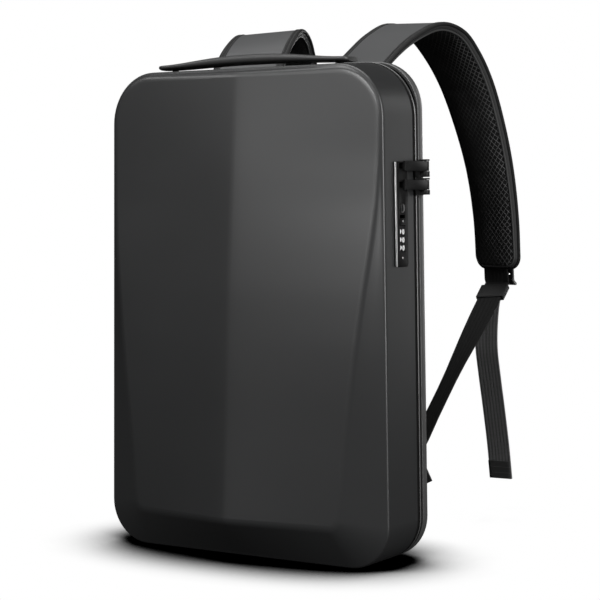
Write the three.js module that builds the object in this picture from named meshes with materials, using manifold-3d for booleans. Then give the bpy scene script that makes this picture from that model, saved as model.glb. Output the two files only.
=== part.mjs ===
// Hard shell backpack: a faceted front shell zipped to a shallow rear shell, with a combination lock in
// its right side, a carrying handle, a padded back panel and two shoulder straps that arch behind it.
// Millimetres. X is across, Y goes from the front to the back and Z is up. The origin is the centre of
// the flat base, so the bag stands on Z = 0. Right is the side where the lock is, at +X.
import * as THREE from "three";
import { mergeVertices } from "three/addons/utils/BufferGeometryUtils.js";
import Module from "manifold-3d";

const wasm = await Module();
wasm.setup();

// Front shell: a tray that is open at the back. Its front has a raised panel of two facets that meet in a
// ridge down the middle, and a bevel that runs from the panel down to the rolled front edge.
const shellHeight = 440;
const shellHalfWidth = 148.2; // at the base, on the front edge
const narrowing = 6.4; // what each side has drawn in at the top
const draft = 3.9; // what each side has spread out at the rim
const frontEdgeY = -29;
const rimY = 28.2;
const shellWall = 3;
const facetBack = 3.4; // inner face behind the slanting facets
const mouthClear = 2; // how far cutting solids reach past an open face
const topRadius = 46;
const bottomRadius = 40;
const edgeRadius = 3; // roll of the front edge
const edgeBack = 5; // where the roll starts, behind frontEdgeY
const edgeTurn = 75; // degrees that the front edge rolls through
const ridgeDepth = 32.3; // how far the ridge stands in front of the front edge, at its deepest
const panelCorner = 10; // radius of the panel's two lower corners
const beadWidth = 5.5; // raised band along the rim
const beadProud = 0.9;
const cornerSteps = 6;

// The front's panel, row by row up the shell. up is a share of the shell's height, half of its half width
// there, and side and ridge of the ridge's depth: how far the panel's edge and the ridge stand forward.
const panelRows = [
  { up: 0.082, half: 0.725, side: 0.5, ridge: 1.0 },
  { up: 0.18, half: 0.752, side: 0.475, ridge: 0.912 },
  { up: 0.27, half: 0.781, side: 0.452, ridge: 0.835 },
  { up: 0.36, half: 0.816, side: 0.43, ridge: 0.775 },
  { up: 0.45, half: 0.852, side: 0.385, ridge: 0.72 },
  { up: 0.55, half: 0.893, side: 0.29, ridge: 0.655 },
  { up: 0.64, half: 0.934, side: 0.165, ridge: 0.57 },
  { up: 0.73, half: 0.962, side: 0.035, ridge: 0.48 },
  { up: 0.82, half: 0.968, side: -0.03, ridge: 0.39 },
  { up: 1.0, half: 0.97, side: -0.05, ridge: 0.185 },
];

// Zip between the shells, and the rear shell behind it.
const zipWidth = 3.5; // the slot between the two rims
const zipSunk = 2.2; // how far the closed teeth lie below the rims
const zipThick = 4;
const rearDepth = 18; // from the rear shell's rim to its flat back
const rearWall = 2.2;
const rearTopRadius = 38;
const gap = 0.3; // what pieces that touch keep between them

// Padded back panel on the rear shell.
const panelMargin = 15; // in from the shell's outline
const panelThick = 8.7;
const panelRoll = 4; // rounding of its edge

// Carrying handle on the top of the front shell.
const handleInset = 47.7; // each end, in from the shell's widest
const handleHalf = shellHalfWidth - handleInset;
const handleDepth = 30;
const handleThick = 8.6;
const handleEndThick = 4.2;
const handleY = -2;
const handleGap = 1; // finger side of the handle above the shell
const handleArch = 1.2; // how much its underside lifts from the ends to the middle
const postInset = 12.5; // from the handle's end to its post
const postX = handleHalf - postInset;
const postRadius = 3;
const postHead = 5.5;
const postHeadThick = 1.2;
const postFoot = 1.6;
const sinkTall = 20; // cuts over the posts' heads, well clear of the handle's top

// Combination lock in the right side wall. Its own frame has X out of the wall, Y along the wall to the
// back and Z up it, with the origin on the wall's outer face at the middle of the lock.
const lockUp = 309.5; // height of the lock's middle
const lockBack = 0.25; // its middle, along Y
const lockWidth = 21.5;
const lockHeight = 91;
const lockProud = 1.2;
const lockSeat = 1.3; // depth of the recess that the lock's flange sits in
const lockDepth = 12; // how far the housing reaches behind the wall's outer face
const lockCorner = 2.5;
const housingHalf = 8;
const housingLow = 2; // the housing's lower end, above the lock's
const housingHigh = 0.2; // its upper end, below the lock's
const faceBack = 1.2; // middle of the lock's face, behind the trim strip
const trimWidth = 2.5;
const trimProud = 0.6;
const dialRadius = 6.4;
const dialWidth = 4.9;
const dialPitch = 7.05;
const dialUp = -22.5; // the middle dial, from the lock's middle
const dialProud = 0.8;
const dialSides = 20;
const shaftRadius = 1.5;
const runningGap = 0.4; // between a turning or sliding piece and its housing
const keyRadius = 4.2;
const keyUp = 5.5;
const keyDepth = 8;
const keySlot = 1.3;
const keyTall = 5.2;
const keyProud = 0.3;
const releaseUp = -6.5;
const releaseWidth = 8.4;
const releaseTall = 6;
const releaseTravel = 3;
const releaseProud = 0.7;
const releaseFoot = 1.2; // how far its foot reaches under the face on each side
const footTop = -1.2; // the pocket's ledge over the foot, from the wall's outer face
const releaseDeep = 4.4; // the pocket's floor

// Zip sliders on the right side, and their pulls, whose prongs sit in the lock.
const pullUps = [42, 25.6]; // heights of the two pulls from the lock's middle
const sliderDrops = [-2.5, -1.7]; // sliders' middles, from their pulls
const sliderLong = 15.2;
const sliderHalf = 7.5;
const sliderPlate = 1.5;
const neckHalf = 1.2;
const pullTall = 8.5;
const pullThick = 2.3;
const pullLift = 0.5; // pull above the lock's face
const pullLead = 3.2; // the pull's free end, behind the lock's middle
const prongWide = 4;
const prongTall = 4.2;
const prongDeep = 6;
const barrelRadius = 3.3;
const pinRadius = 1.2;
const lugThick = 1.4; // the cheek above the pull
const lugShort = 0.6; // from the cheek below the pull to the slider's lower end
const lugRadius = 3.8;
const plateCorner = 3;
const overlap = 0.5; // how far parts of one solid reach into each other
const barrelLag = 3.5; // the pull's hinge, behind the slider's middle
const slotAhead = 6; // room in the slot for the prong's swing

// Shoulder straps. Each lies in an upright plane that flares out from its root on the back panel.
const strapRootX = 56.5;
const strapRootUp = 392;
const strapFlare = 14.3; // degrees
const strapWide = 70;
const strapLean = 3; // degrees that the crest's outer edge sinks by
const strapReach = 223; // from the back panel to the strap's lower end
const strapLift = 97.5; // from the root up to the crest
const strapFall = 238.5; // from the crest down to the lower end
const faceThick = 1.6;
const padThick = 8.4;
const padRootThick = 2.4;
const strapEndRound = 12;

// The strap's middle line. out is a share of strapReach and down, from the crest, of strapFall. pad is a
// share of the pad's full thickness, turn of strapFlare, how far the strap's width has turned from X, and
// lean of strapLean. wide is a share of strapWide, and aside too: how far the middle has moved outwards.
const strapRows = [
  { out: 0.0, down: 0.42, pad: 0.0, turn: 0.0, lean: 0.0, wide: 1.0, aside: 0.0 },
  { out: 0.0, down: 0.37, pad: 0.0, turn: 0.0, lean: 0.0, wide: 1.0, aside: 0.0 },
  { out: 0.012, down: 0.3, pad: 0.1, turn: 0.2, lean: 0.1, wide: 1.0, aside: 0.0 },
  { out: 0.06, down: 0.215, pad: 0.3, turn: 0.8, lean: 0.5, wide: 1.0, aside: 0.0 },
  { out: 0.162, down: 0.135, pad: 0.5, turn: 1.35, lean: 0.8, wide: 1.0, aside: 0.0 },
  { out: 0.3, down: 0.05, pad: 0.75, turn: 1.1, lean: 1.0, wide: 1.0, aside: 0.0 },
  { out: 0.445, down: 0.0, pad: 0.95, turn: 0.75, lean: 1.0, wide: 1.0, aside: 0.0 },
  { out: 0.585, down: 0.025, pad: 1, turn: 0.8, lean: 0.8, wide: 0.98, aside: 0.01 },
  { out: 0.685, down: 0.1, pad: 1, turn: 0.9, lean: 0.5, wide: 0.96, aside: 0.018 },
  { out: 0.78, down: 0.215, pad: 1, turn: 1, lean: 0.2, wide: 0.93, aside: 0.03 },
  { out: 0.865, down: 0.38, pad: 1, turn: 1, lean: 0.0, wide: 0.875, aside: 0.05 },
  { out: 0.935, down: 0.57, pad: 1, turn: 1, lean: 0.0, wide: 0.815, aside: 0.07 },
  { out: 0.98, down: 0.78, pad: 0.95, turn: 1, lean: 0.0, wide: 0.785, aside: 0.075 },
  { out: 1.0, down: 1.0, pad: 0.6, turn: 1, lean: 0.0, wide: 0.785, aside: 0.065 },
];

// Buckle, webbing and their seats, on each strap's lower end.
const webWide = 26;
const webThick = 1.4;
const webTwist = -42; // degrees that the tight web's width is turned from X, half way down
const hardwareTurn = -7; // degrees that the buckle's width is turned from X
const buckleHalfWide = 16.5;
const buckleHalfLong = 14.5;
const buckleThick = 4;
const buckleTilt = 5; // degrees from upright
const buckleDrop = 3; // its middle, above the strap's lower end
const barLong = 3.5;
const slotLong = 4.2;
const slotRoom = 0.8; // beside the webbing, on each side
const webAside = -1.5; // the buckle's middle, from the strap's, across it
const lipFlare = 8;
const tabLong = 34;
const keeperLong = 20;
const keeperThick = 1.5;
const keeperAlong = 16; // from the buckle to the keeper's middle
const anchorX = 127;
const anchorUp = 72;
const anchorTurn = 27; // degrees that the sewn end is turned from upright
const anchorWide = 32;
const anchorLong = 30;
const anchorThick = 2;
const tailLong = 182;
const tailSwing = 13;

// The webbing's free end below the keeper: down is a share of tailLong, and out and aside of tailSwing.
const tailRows = [
  { down: 0.1, out: -0.42, aside: 0.02 },
  { down: 0.25, out: -0.68, aside: 0.1 },
  { down: 0.42, out: -0.32, aside: 0.22 },
  { down: 0.58, out: 0.12, aside: 0.34 },
  { down: 0.8, out: 0.66, aside: 0.5 },
  { down: 1.0, out: 1.0, aside: 0.64 },
];

const point = (x, y, z) => new THREE.Vector3(x, y, z);
const radians = THREE.MathUtils.degToRad;
const lerp = THREE.MathUtils.lerp;

const materials = {
  shell: new THREE.MeshStandardMaterial({ color: 0x3a3a3c, roughness: 0.42, metalness: 0.0 }),
  lining: new THREE.MeshStandardMaterial({ color: 0x1d1d1f, roughness: 0.9, metalness: 0.0 }),
  zip: new THREE.MeshStandardMaterial({ color: 0x111112, roughness: 0.7, metalness: 0.0 }),
  grip: new THREE.MeshStandardMaterial({ color: 0x2c2c2e, roughness: 0.5, metalness: 0.0 }),
  plastic: new THREE.MeshStandardMaterial({ color: 0x141415, roughness: 0.4, metalness: 0.0 }),
  metal: new THREE.MeshStandardMaterial({ color: 0xa5a6a8, roughness: 0.3, metalness: 1.0 }),
  web: new THREE.MeshStandardMaterial({ color: 0x161617, roughness: 0.85, metalness: 0.0 }),
  cloth: new THREE.MeshStandardMaterial({ color: 0x3b3b3d, roughness: 0.6, metalness: 0.0 }),
};
const model = new THREE.Group();

function addPiece(name, geometry, material, parent = model) {
  const mesh = new THREE.Mesh(geometry, material);
  mesh.name = name;
  parent.add(mesh);
  return mesh;
}

// A closed geometry as a solid that can be cut and joined.
function solidOf(geometry) {
  const bare = geometry.clone();
  bare.deleteAttribute("normal");
  bare.deleteAttribute("uv");
  const merged = mergeVertices(bare, 1e-4);
  const vertProperties = new Float32Array(merged.attributes.position.array);
  const triVerts = [];
  const index = merged.index.array;
  for (let i = 0; i < index.length; i += 3) {
    const [a, b, c] = [index[i], index[i + 1], index[i + 2]];
    if (a !== b && b !== c && c !== a) triVerts.push(a, b, c);
  }
  const skin = new wasm.Mesh({ numProp: 3, vertProperties, triVerts: new Uint32Array(triVerts) });
  return new wasm.Manifold(skin);
}

function geometryOf(solid) {
  const mesh = solid.getMesh();
  const geometry = new THREE.BufferGeometry();
  geometry.setAttribute("position", new THREE.BufferAttribute(new Float32Array(mesh.vertProperties), 3));
  geometry.setIndex(new THREE.BufferAttribute(new Uint32Array(mesh.triVerts), 1));
  geometry.computeVertexNormals();
  return geometry;
}

// A closed skin over rings with equal numbers of points. Each ring turns the same way, seen from behind
// the first, and both ends are fans, so that the two end rings are convex.
function loft(rings, frontStrips = []) {
  const positions = [];
  const triangle = (a, b, c) => positions.push(...a.toArray(), ...b.toArray(), ...c.toArray());
  const quad = (a, b, c, d) => {
    triangle(a, b, c);
    triangle(a, c, d);
  };
  for (let r = 0; r + 1 < rings.length; r++) {
    const [near, far] = [rings[r], rings[r + 1]];
    for (let i = 0; i < near.length; i++) {
      const j = (i + 1) % near.length;
      quad(near[i], near[j], far[j], far[i]);
    }
  }
  const fan = (ring, flip) => {
    for (let i = 1; i + 1 < ring.length; i++) {
      if (flip) triangle(ring[0], ring[i + 1], ring[i]);
      else triangle(ring[0], ring[i], ring[i + 1]);
    }
  };
  fan(rings[0], true);
  if (frontStrips.length === 0) fan(rings[rings.length - 1], false);
  for (const [a, b, c, d] of frontStrips) quad(a, b, c, d);
  const geometry = new THREE.BufferGeometry();
  geometry.setAttribute("position", new THREE.BufferAttribute(new Float32Array(positions), 3));
  return outward(geometry);
}

// The geometry with its faces turned out, whichever way its rings ran.
function outward(geometry) {
  const p = geometry.index ? geometry.toNonIndexed().attributes.position : geometry.attributes.position;
  let volume = 0;
  const [a, b, c] = [point(), point(), point()];
  for (let i = 0; i < p.count; i += 3) {
    a.fromBufferAttribute(p, i);
    b.fromBufferAttribute(p, i + 1);
    c.fromBufferAttribute(p, i + 2);
    volume += a.dot(b.cross(c));
  }
  if (volume > 0) return geometry;
  const index = [];
  for (let i = 0; i < p.count; i += 3) index.push(i, i + 2, i + 1);
  const turned = new THREE.BufferGeometry();
  turned.setAttribute("position", p.clone());
  turned.setIndex(index);
  return turned;
}

// The same piece on the other side of the bag.
function mirrored(geometry) {
  const flat = geometry.index ? geometry.toNonIndexed() : geometry.clone();
  flat.scale(-1, 1, 1);
  return outward(flat);
}

const edgeStartY = frontEdgeY + edgeBack;
const spreadAt = (y) => (draft * (Math.min(y, rimY) - frontEdgeY)) / (rimY - frontEdgeY);
const narrowAt = (z) => 1 - (narrowing / shellHalfWidth) * (z / shellHeight);

// The shell's outline at depth y, drawn in by inset, as a closed row of points from the base's middle
// round by the right. rows are the heights of the points on the straight sides, as shares of the shell.
function outline(y, inset, upperRadius = topRadius) {
  const half = shellHalfWidth + spreadAt(y) - inset;
  const top = shellHeight + spreadAt(y) - inset;
  const lowRadius = Math.max(bottomRadius - inset, 4);
  const highRadius = Math.max(upperRadius + spreadAt(y) - inset, 4);
  const base = Math.max(inset, 0);
  const right = [];
  const put = (x, z) => right.push(point(x * narrowAt(z), y, z));
  for (const share of [0, 1 / 3, 2 / 3]) put((half - lowRadius) * share, base);
  for (let i = 0; i <= cornerSteps; i++) {
    const t = (Math.PI / 2) * (i / cornerSteps);
    put(half - lowRadius + lowRadius * Math.sin(t), base + lowRadius - lowRadius * Math.cos(t));
  }
  for (const row of sideRows) put(half, row.up * shellHeight);
  for (let i = 0; i <= cornerSteps; i++) {
    const t = (Math.PI / 2) * (i / cornerSteps);
    put(half - highRadius + highRadius * Math.cos(t), top - highRadius + highRadius * Math.sin(t));
  }
  for (const share of [2 / 3, 1 / 3, 0]) put((half - highRadius) * share, top);
  const left = right.slice(1, -1).reverse();
  return [...right, ...left.map((p) => point(-p.x, p.y, p.z))];
}

const sideRows = panelRows.slice(1, -1);

// The panel's half width and the depths of its edge and ridge at height z.
function panelAt(z) {
  const up = THREE.MathUtils.clamp(z / shellHeight, panelRows[0].up, 1);
  const next = Math.max(1, panelRows.findIndex((row) => row.up >= up));
  const [low, high] = [panelRows[next - 1], panelRows[next]];
  const t = (up - low.up) / (high.up - low.up);
  const value = (key) => lerp(low[key], high[key], t);
  return {
    half: value("half") * shellHalfWidth * narrowAt(z),
    side: value("side") * ridgeDepth,
    ridge: value("ridge") * ridgeDepth,
  };
}

// The panel's surface at x and z.
function panelPoint(x, z) {
  const at = panelAt(z);
  const t = Math.min(Math.abs(x) / at.half, 1);
  return point(x, frontEdgeY - lerp(at.ridge, at.side, t), z);
}

// The panel's outline, with as many points as the shell's own, and the ridge's point beside each.
function panelRing() {
  const low = panelRows[0].up * shellHeight;
  const base = panelAt(low);
  const topInset = shellHalfWidth * (1 - panelRows[panelRows.length - 1].half);
  const guide = outline(frontEdgeY, topInset);
  const right = [];
  for (const share of [0, 1 / 3, 2 / 3]) right.push(panelPoint((base.half - panelCorner) * share, low));
  for (let i = 0; i <= cornerSteps; i++) {
    const t = (Math.PI / 2) * (i / cornerSteps);
    const x = base.half - panelCorner + panelCorner * Math.sin(t);
    right.push(panelPoint(x, low + panelCorner * (1 - Math.cos(t))));
  }
  for (const row of sideRows) {
    const z = row.up * shellHeight;
    right.push(panelPoint(panelAt(z).half, z));
  }
  const used = right.length;
  const upper = cornerSteps + 4;
  for (let i = used; i < used + upper; i++) right.push(panelPoint(guide[i].x, guide[i].z));
  const left = right.slice(1, -1).reverse();
  return [...right, ...left.map((p) => point(-p.x, p.y, p.z))];
}

// Four-point strips from the panel's outline to the ridge, which lies back behind the panel's own.
function ridgeStrips(ring, back = 0) {
  const ridge = ring.map((p) => point(0, frontEdgeY - panelAt(p.z).ridge + back, p.z));
  return ring.map((p, i) => {
    const j = (i + 1) % ring.length;
    return [p, ring[j], ridge[j], ridge[i]];
  });
}

function frontOuter() {
  const rings = [
    outline(rimY, -beadProud),
    outline(rimY - beadWidth, -beadProud),
    outline(rimY - beadWidth - 0.6, 0),
    outline(edgeStartY, 0),
  ];
  for (const share of [1 / 3, 2 / 3, 1]) {
    const t = radians(edgeTurn * share);
    rings.push(outline(edgeStartY, edgeRadius * (1 - Math.cos(t))));
    for (const p of rings[rings.length - 1]) p.y -= edgeRadius * Math.sin(t);
  }
  const ring = panelRing();
  rings.push(ring);
  return loft(rings, ridgeStrips(ring));
}

function frontInner() {
  const start = outline(rimY, shellWall);
  for (const p of start) p.y += mouthClear;
  const turned = outline(edgeStartY, shellWall);
  const near = outline(edgeStartY, shellWall + 1);
  for (const p of near) p.y -= shellWall / 10;
  const middleUp = shellHeight / 2;
  const ring = panelRing().map((p) => {
    const drawn = p.clone();
    drawn.x *= 1 - shellWall / 2 / shellHalfWidth;
    drawn.z += (middleUp - p.z) * (shellWall / 2 / middleUp);
    drawn.y += facetBack;
    return drawn;
  });
  const rings = [start, outline(rimY, shellWall), turned, near, ring];
  return loft(rings, ridgeStrips(ring, facetBack));
}

// The lock's frame on the side wall, turned with the wall's draft and narrowing.
function lockFrame() {
  const out = point(
    Math.cos(Math.atan(draft / (rimY - frontEdgeY))),
    -Math.sin(Math.atan(draft / (rimY - frontEdgeY))),
    narrowing / shellHeight,
  ).normalize();
  const up = point(-narrowing / shellHeight, 0, 1);
  up.addScaledVector(out, -up.dot(out)).normalize();
  const along = up.clone().cross(out);
  const wallX = (shellHalfWidth + spreadAt(lockBack)) * narrowAt(lockUp);
  const matrix = new THREE.Matrix4().makeBasis(out, along, up).setPosition(wallX, lockBack, lockUp);
  return matrix;
}
const lockMatrix = lockFrame();

// A box from low to high corners.
function box(x0, x1, y0, y1, z0, z1) {
  const geometry = new THREE.BoxGeometry(x1 - x0, y1 - y0, z1 - z0);
  geometry.translate((x0 + x1) / 2, (y0 + y1) / 2, (z0 + z1) / 2);
  return geometry;
}

// A plate in the wall's plane with rounded corners, from x0 to x1 out of the wall.
function roundPlate(x0, x1, y0, y1, z0, z1, radius) {
  const shape = new THREE.Shape();
  shape.moveTo(y0 + radius, z0);
  shape.lineTo(y1 - radius, z0);
  shape.absarc(y1 - radius, z0 + radius, radius, -Math.PI / 2, 0);
  shape.absarc(y1 - radius, z1 - radius, radius, 0, Math.PI / 2);
  shape.absarc(y0 + radius, z1 - radius, radius, Math.PI / 2, Math.PI);
  shape.absarc(y0 + radius, z0 + radius, radius, Math.PI, Math.PI * 1.5);
  const extent = { depth: x1 - x0, bevelEnabled: false, curveSegments: 4 };
  const geometry = new THREE.ExtrudeGeometry(shape, extent);
  geometry.applyMatrix4(new THREE.Matrix4().makeBasis(point(0, 1, 0), point(0, 0, 1), point(1, 0, 0)));
  geometry.translate(x0, 0, 0);
  return geometry;
}

// A rod along Z, or along X where lying is true.
function rod(radius, length, sides, x, y, z, lying = false) {
  const geometry = new THREE.CylinderGeometry(radius, radius, length, sides);
  if (lying) geometry.rotateZ(Math.PI / 2);
  else geometry.rotateX(Math.PI / 2);
  geometry.translate(x, y, z);
  return geometry;
}

const faceX = lockProud;
const dialX = lockProud + dialProud - dialRadius;
const dialHeights = [1, 0, -1].map((step) => dialUp + step * dialPitch);
const pullX = lockProud + pullLift;
const zipBack = (rimY + zipWidth / 2 - lockBack) / Math.cos(Math.atan(draft / (rimY - frontEdgeY)));
const plateX = beadProud + gap;
const barrelX = plateX + sliderPlate + gap + barrelRadius;
const barrelBack = zipBack + barrelLag;

function lockBody() {
  const half = lockHeight / 2;
  const seatX = -lockSeat + gap;
  let solid = solidOf(roundPlate(seatX, faceX, -lockWidth / 2, lockWidth / 2, -half, half, lockCorner));
  const [low, high] = [-half + housingLow, half - housingHigh];
  const inner = box(-lockDepth, seatX + overlap, faceBack - housingHalf, faceBack + housingHalf, low, high);
  solid = solid.add(solidOf(inner));
  const trimSeat = box(
    faceX - trimProud, faceX + 1, -lockWidth / 2 - 1, -lockWidth / 2 + trimWidth + gap, -half - 1, half + 1,
  );
  solid = solid.subtract(solidOf(trimSeat));
  for (const z of dialHeights) {
    const pocket = rod(dialRadius + runningGap, dialWidth + 2 * gap, 28, dialX, faceBack, z);
    const shaft = rod(shaftRadius, dialWidth + 2 * gap + 1, 12, dialX, faceBack, z);
    solid = solid.subtract(solidOf(pocket).subtract(solidOf(shaft)));
  }
  const keyLong = keyDepth + gap + faceX + 2;
  const keyHole = rod(keyRadius + gap, keyLong, 20, faceX + 2 - keyLong / 2, faceBack, keyUp, true);
  solid = solid.subtract(solidOf(keyHole));
  const bottom = releaseUp - releaseTall / 2 - gap;
  const top = releaseUp + releaseTall / 2 + releaseTravel + gap;
  for (const [side, face] of [[0, faceX + 1], [releaseFoot, footTop]]) {
    const reach = releaseWidth / 2 + gap + side;
    solid = solid.subtract(solidOf(box(-releaseDeep, face, faceBack - reach, faceBack + reach, bottom, top)));
  }
  for (const z of pullUps) {
    const tall = prongTall / 2 + runningGap;
    const ahead = pullLead - slotAhead;
    const behind = pullLead + prongWide + runningGap;
    solid = solid.subtract(solidOf(box(faceX - 1 - prongDeep, faceX + 1, ahead, behind, z - tall, z + tall)));
  }
  return geometryOf(solid);
}

// The recess and the opening in the side wall that the lock sits in.
function lockOpening() {
  const half = lockHeight / 2 + gap;
  const side = lockWidth / 2 + gap;
  const seat = solidOf(roundPlate(-lockSeat, 6, -side, side, -half, half, lockCorner + gap));
  const wide = housingHalf + gap;
  const way = box(-lockDepth, 1, faceBack - wide, faceBack + wide, -half + housingLow, half);
  return seat.add(solidOf(way));
}

function inPlace(geometry, matrix) {
  const placed = geometry.clone();
  placed.applyMatrix4(matrix);
  return placed;
}

// The top wall's outer face at x, for what stands on it.
const topAt = (y) => shellHeight + spreadAt(y);

function buildFrontShell() {
  let solid = solidOf(frontOuter()).subtract(solidOf(frontInner()));
  solid = solid.subtract(solidOf(inPlace(geometryOf(lockOpening()), lockMatrix)));
  for (const side of [-1, 1]) {
    const hole = rod(postRadius + gap, 20, 16, side * postX, handleY, topAt(handleY));
    solid = solid.subtract(solidOf(hole));
  }
  addPiece("front_shell", geometryOf(solid), materials.shell);
}

function ringBand(y0, y1, outerInset, innerInset) {
  const outer = loft([outline(y1, outerInset), outline(y0, outerInset)]);
  const inner = loft([outline(y1 + 1, innerInset), outline(y0 - 1, innerInset)]);
  return solidOf(outer).subtract(solidOf(inner));
}

function buildZip() {
  const band = ringBand(rimY + gap, rimY + zipWidth - gap, zipSunk, zipSunk + zipThick);
  addPiece("zip_chain", geometryOf(band), materials.zip);
}

const rearRimY = rimY + zipWidth;
const rearBackY = rearRimY + rearDepth;

// The rear shell: its rolled edge, row by row back from its rim. back is a share of rearDepth.
const rearRows = [
  { back: 0, inset: -0.9 },
  { back: 0.33, inset: -0.9 },
  { back: 0.36, inset: 0.2 },
  { back: 0.6, inset: 0.6 },
  { back: 0.78, inset: 2.8 },
  { back: 0.91, inset: 6.8 },
  { back: 1, inset: 12.5 },
];

function buildRearShell() {
  const outerRings = rearRows.map((row) => {
    return outline(rearRimY + row.back * rearDepth, row.inset, rearTopRadius);
  });
  const innerRings = rearRows.slice(3).map((row, i, rows) => {
    const y = rearRimY + row.back * rearDepth - rearWall * (i + 1 === rows.length ? 1 : 0.7);
    return outline(y, row.inset + rearWall, rearTopRadius);
  });
  const mouth = outline(rearRimY, rearRows[1].inset + rearWall + beadProud, rearTopRadius);
  for (const p of mouth) p.y -= 1;
  const solid = solidOf(loft(outerRings)).subtract(solidOf(loft([mouth, ...innerRings])));
  addPiece("rear_shell", geometryOf(solid), materials.lining);
}

function buildBackPanel() {
  const y = rearBackY + gap;
  const rows = [
    { back: 0, inset: 0.5 },
    { back: panelThick - panelRoll, inset: 0 },
    { back: panelThick - panelRoll * 0.3, inset: panelRoll * 0.3 },
    { back: panelThick, inset: panelRoll },
  ];
  const rings = rows.map((row) => {
    const ring = outline(rimY, panelMargin + row.inset, rearTopRadius);
    for (const p of ring) p.y = y + row.back;
    return ring;
  });
  addPiece("back_panel", loft(rings), materials.lining);
}

// The handle: a flat grip that is thickest in its middle. along is a share of its half length.
const handleRows = [
  { along: 1.0, thick: 0.0, deep: 0.62 },
  { along: 0.985, thick: 0.0, deep: 0.8 },
  { along: 0.94, thick: 0.02, deep: 0.96 },
  { along: 0.78, thick: 0.12, deep: 1 },
  { along: 0.58, thick: 0.5, deep: 1 },
  { along: 0.34, thick: 0.86, deep: 1 },
  { along: 0.12, thick: 1, deep: 1 },
];

function buildHandle() {
  const stations = [...handleRows, ...handleRows.map((row) => ({ ...row, along: -row.along })).reverse()];
  const under = topAt(handleY + handleDepth / 2) + handleGap;
  const rings = stations.map(({ along, thick, deep }) => {
    const tall = lerp(handleEndThick, handleThick, thick);
    const base = under + handleArch * thick - handleGap * 0.6 * (1 - thick);
    const ring = [];
    const sides = 12;
    for (let i = 0; i < sides; i++) {
      const t = (2 * Math.PI * (i + 0.5)) / sides;
      const flat = (v) => Math.sign(v) * Math.abs(v) ** 0.6;
      const y = handleY + (flat(Math.cos(t)) * handleDepth * deep) / 2;
      ring.push(point(along * handleHalf, y, base + (tall * (1 + flat(Math.sin(t)))) / 2));
    }
    return ring;
  });
  let solid = solidOf(loft(rings));
  for (const side of [-1, 1]) {
    const hole = rod(postRadius + gap, 2 * sinkTall, 16, side * postX, handleY, under);
    const sink = rod(postHead + gap, sinkTall, 16, side * postX, handleY, postSeat() + sinkTall / 2);
    solid = solid.subtract(solidOf(hole)).subtract(solidOf(sink));
  }
  addPiece("top_handle", geometryOf(solid), materials.grip);
}

// Height of the ledge inside the handle that the posts' heads hold down.
const postSeat = () => topAt(handleY + handleDepth / 2) + handleGap * 0.4 + handleEndThick * 0.62;

function buildPosts() {
  const under = topAt(handleY - postHead) - shellWall;
  for (const [name, side] of [["handle_post_left", -1], ["handle_post_right", 1]]) {
    const top = postSeat() + gap;
    const foot = rod(postHead, postFoot, 16, side * postX, handleY, under - gap - postFoot / 2);
    const head = rod(postHead, postHeadThick, 16, side * postX, handleY, top + postHeadThick / 2);
    const [low, high] = [under - gap - postFoot / 2, top + postHeadThick / 2];
    const stem = solidOf(rod(postRadius, high - low, 16, side * postX, handleY, (low + high) / 2));
    addPiece(name, geometryOf(stem.add(solidOf(head)).add(solidOf(foot))), materials.plastic);
  }
}

// A turning wheel with one flat face for each half digit.
function dialGeometry() {
  const wheel = solidOf(rod(dialRadius, dialWidth, dialSides, 0, 0, 0));
  return geometryOf(wheel.subtract(solidOf(rod(shaftRadius + gap, dialWidth + 2, 12, 0, 0, 0))));
}

function keyCore() {
  const length = keyDepth + faceX + keyProud;
  const core = solidOf(rod(keyRadius, length, 20, faceX + keyProud - length / 2, 0, 0, true));
  const [half, tall] = [keySlot / 2, keyTall / 2];
  return geometryOf(core.subtract(solidOf(box(faceX - 3, faceX + 2, -half, half, -tall, tall))));
}

function releaseButton() {
  const [half, tall] = [releaseWidth / 2, releaseTall / 2];
  const low = gap - releaseDeep;
  const button = solidOf(box(low, faceX + releaseProud, -half, half, -tall, tall));
  const foot = box(low, footTop - gap, -half - releaseFoot, half + releaseFoot, -tall, tall);
  return geometryOf(button.add(solidOf(foot)));
}

// A zip slider over the teeth: a plate and a neck, with two round cheeks and a pin that hold its pull.
function sliderGeometry(drop) {
  const tall = sliderLong / 2;
  const [near, far] = [zipBack - sliderHalf, zipBack + sliderHalf];
  const plate = roundPlate(plateX, plateX + sliderPlate, near, far, drop - tall, drop + tall, plateCorner);
  const neckTall = tall - plateCorner;
  const [neckLow, neckHigh] = [drop - neckTall, drop + neckTall];
  const neck = box(
    -zipSunk + gap, plateX + overlap, zipBack - neckHalf, zipBack + neckHalf, neckLow, neckHigh,
  );
  let solid = solidOf(plate).add(solidOf(neck));
  const cheekFoot = plateX + sliderPlate - overlap / 2;
  const inner = pullTall / 2 + gap;
  for (const [low, high] of [[inner, inner + lugThick], [drop - tall + lugShort, -inner]]) {
    const foot = box(cheekFoot, barrelX, barrelBack - lugRadius, barrelBack + lugRadius, low, high);
    const round = rod(lugRadius, high - low, 20, barrelX, barrelBack, (low + high) / 2);
    solid = solid.add(solidOf(foot)).add(solidOf(round));
  }
  const pin = rod(pinRadius, 2 * inner + lugThick, 12, barrelX, barrelBack, 0);
  return geometryOf(solid.add(solidOf(pin)));
}

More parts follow.
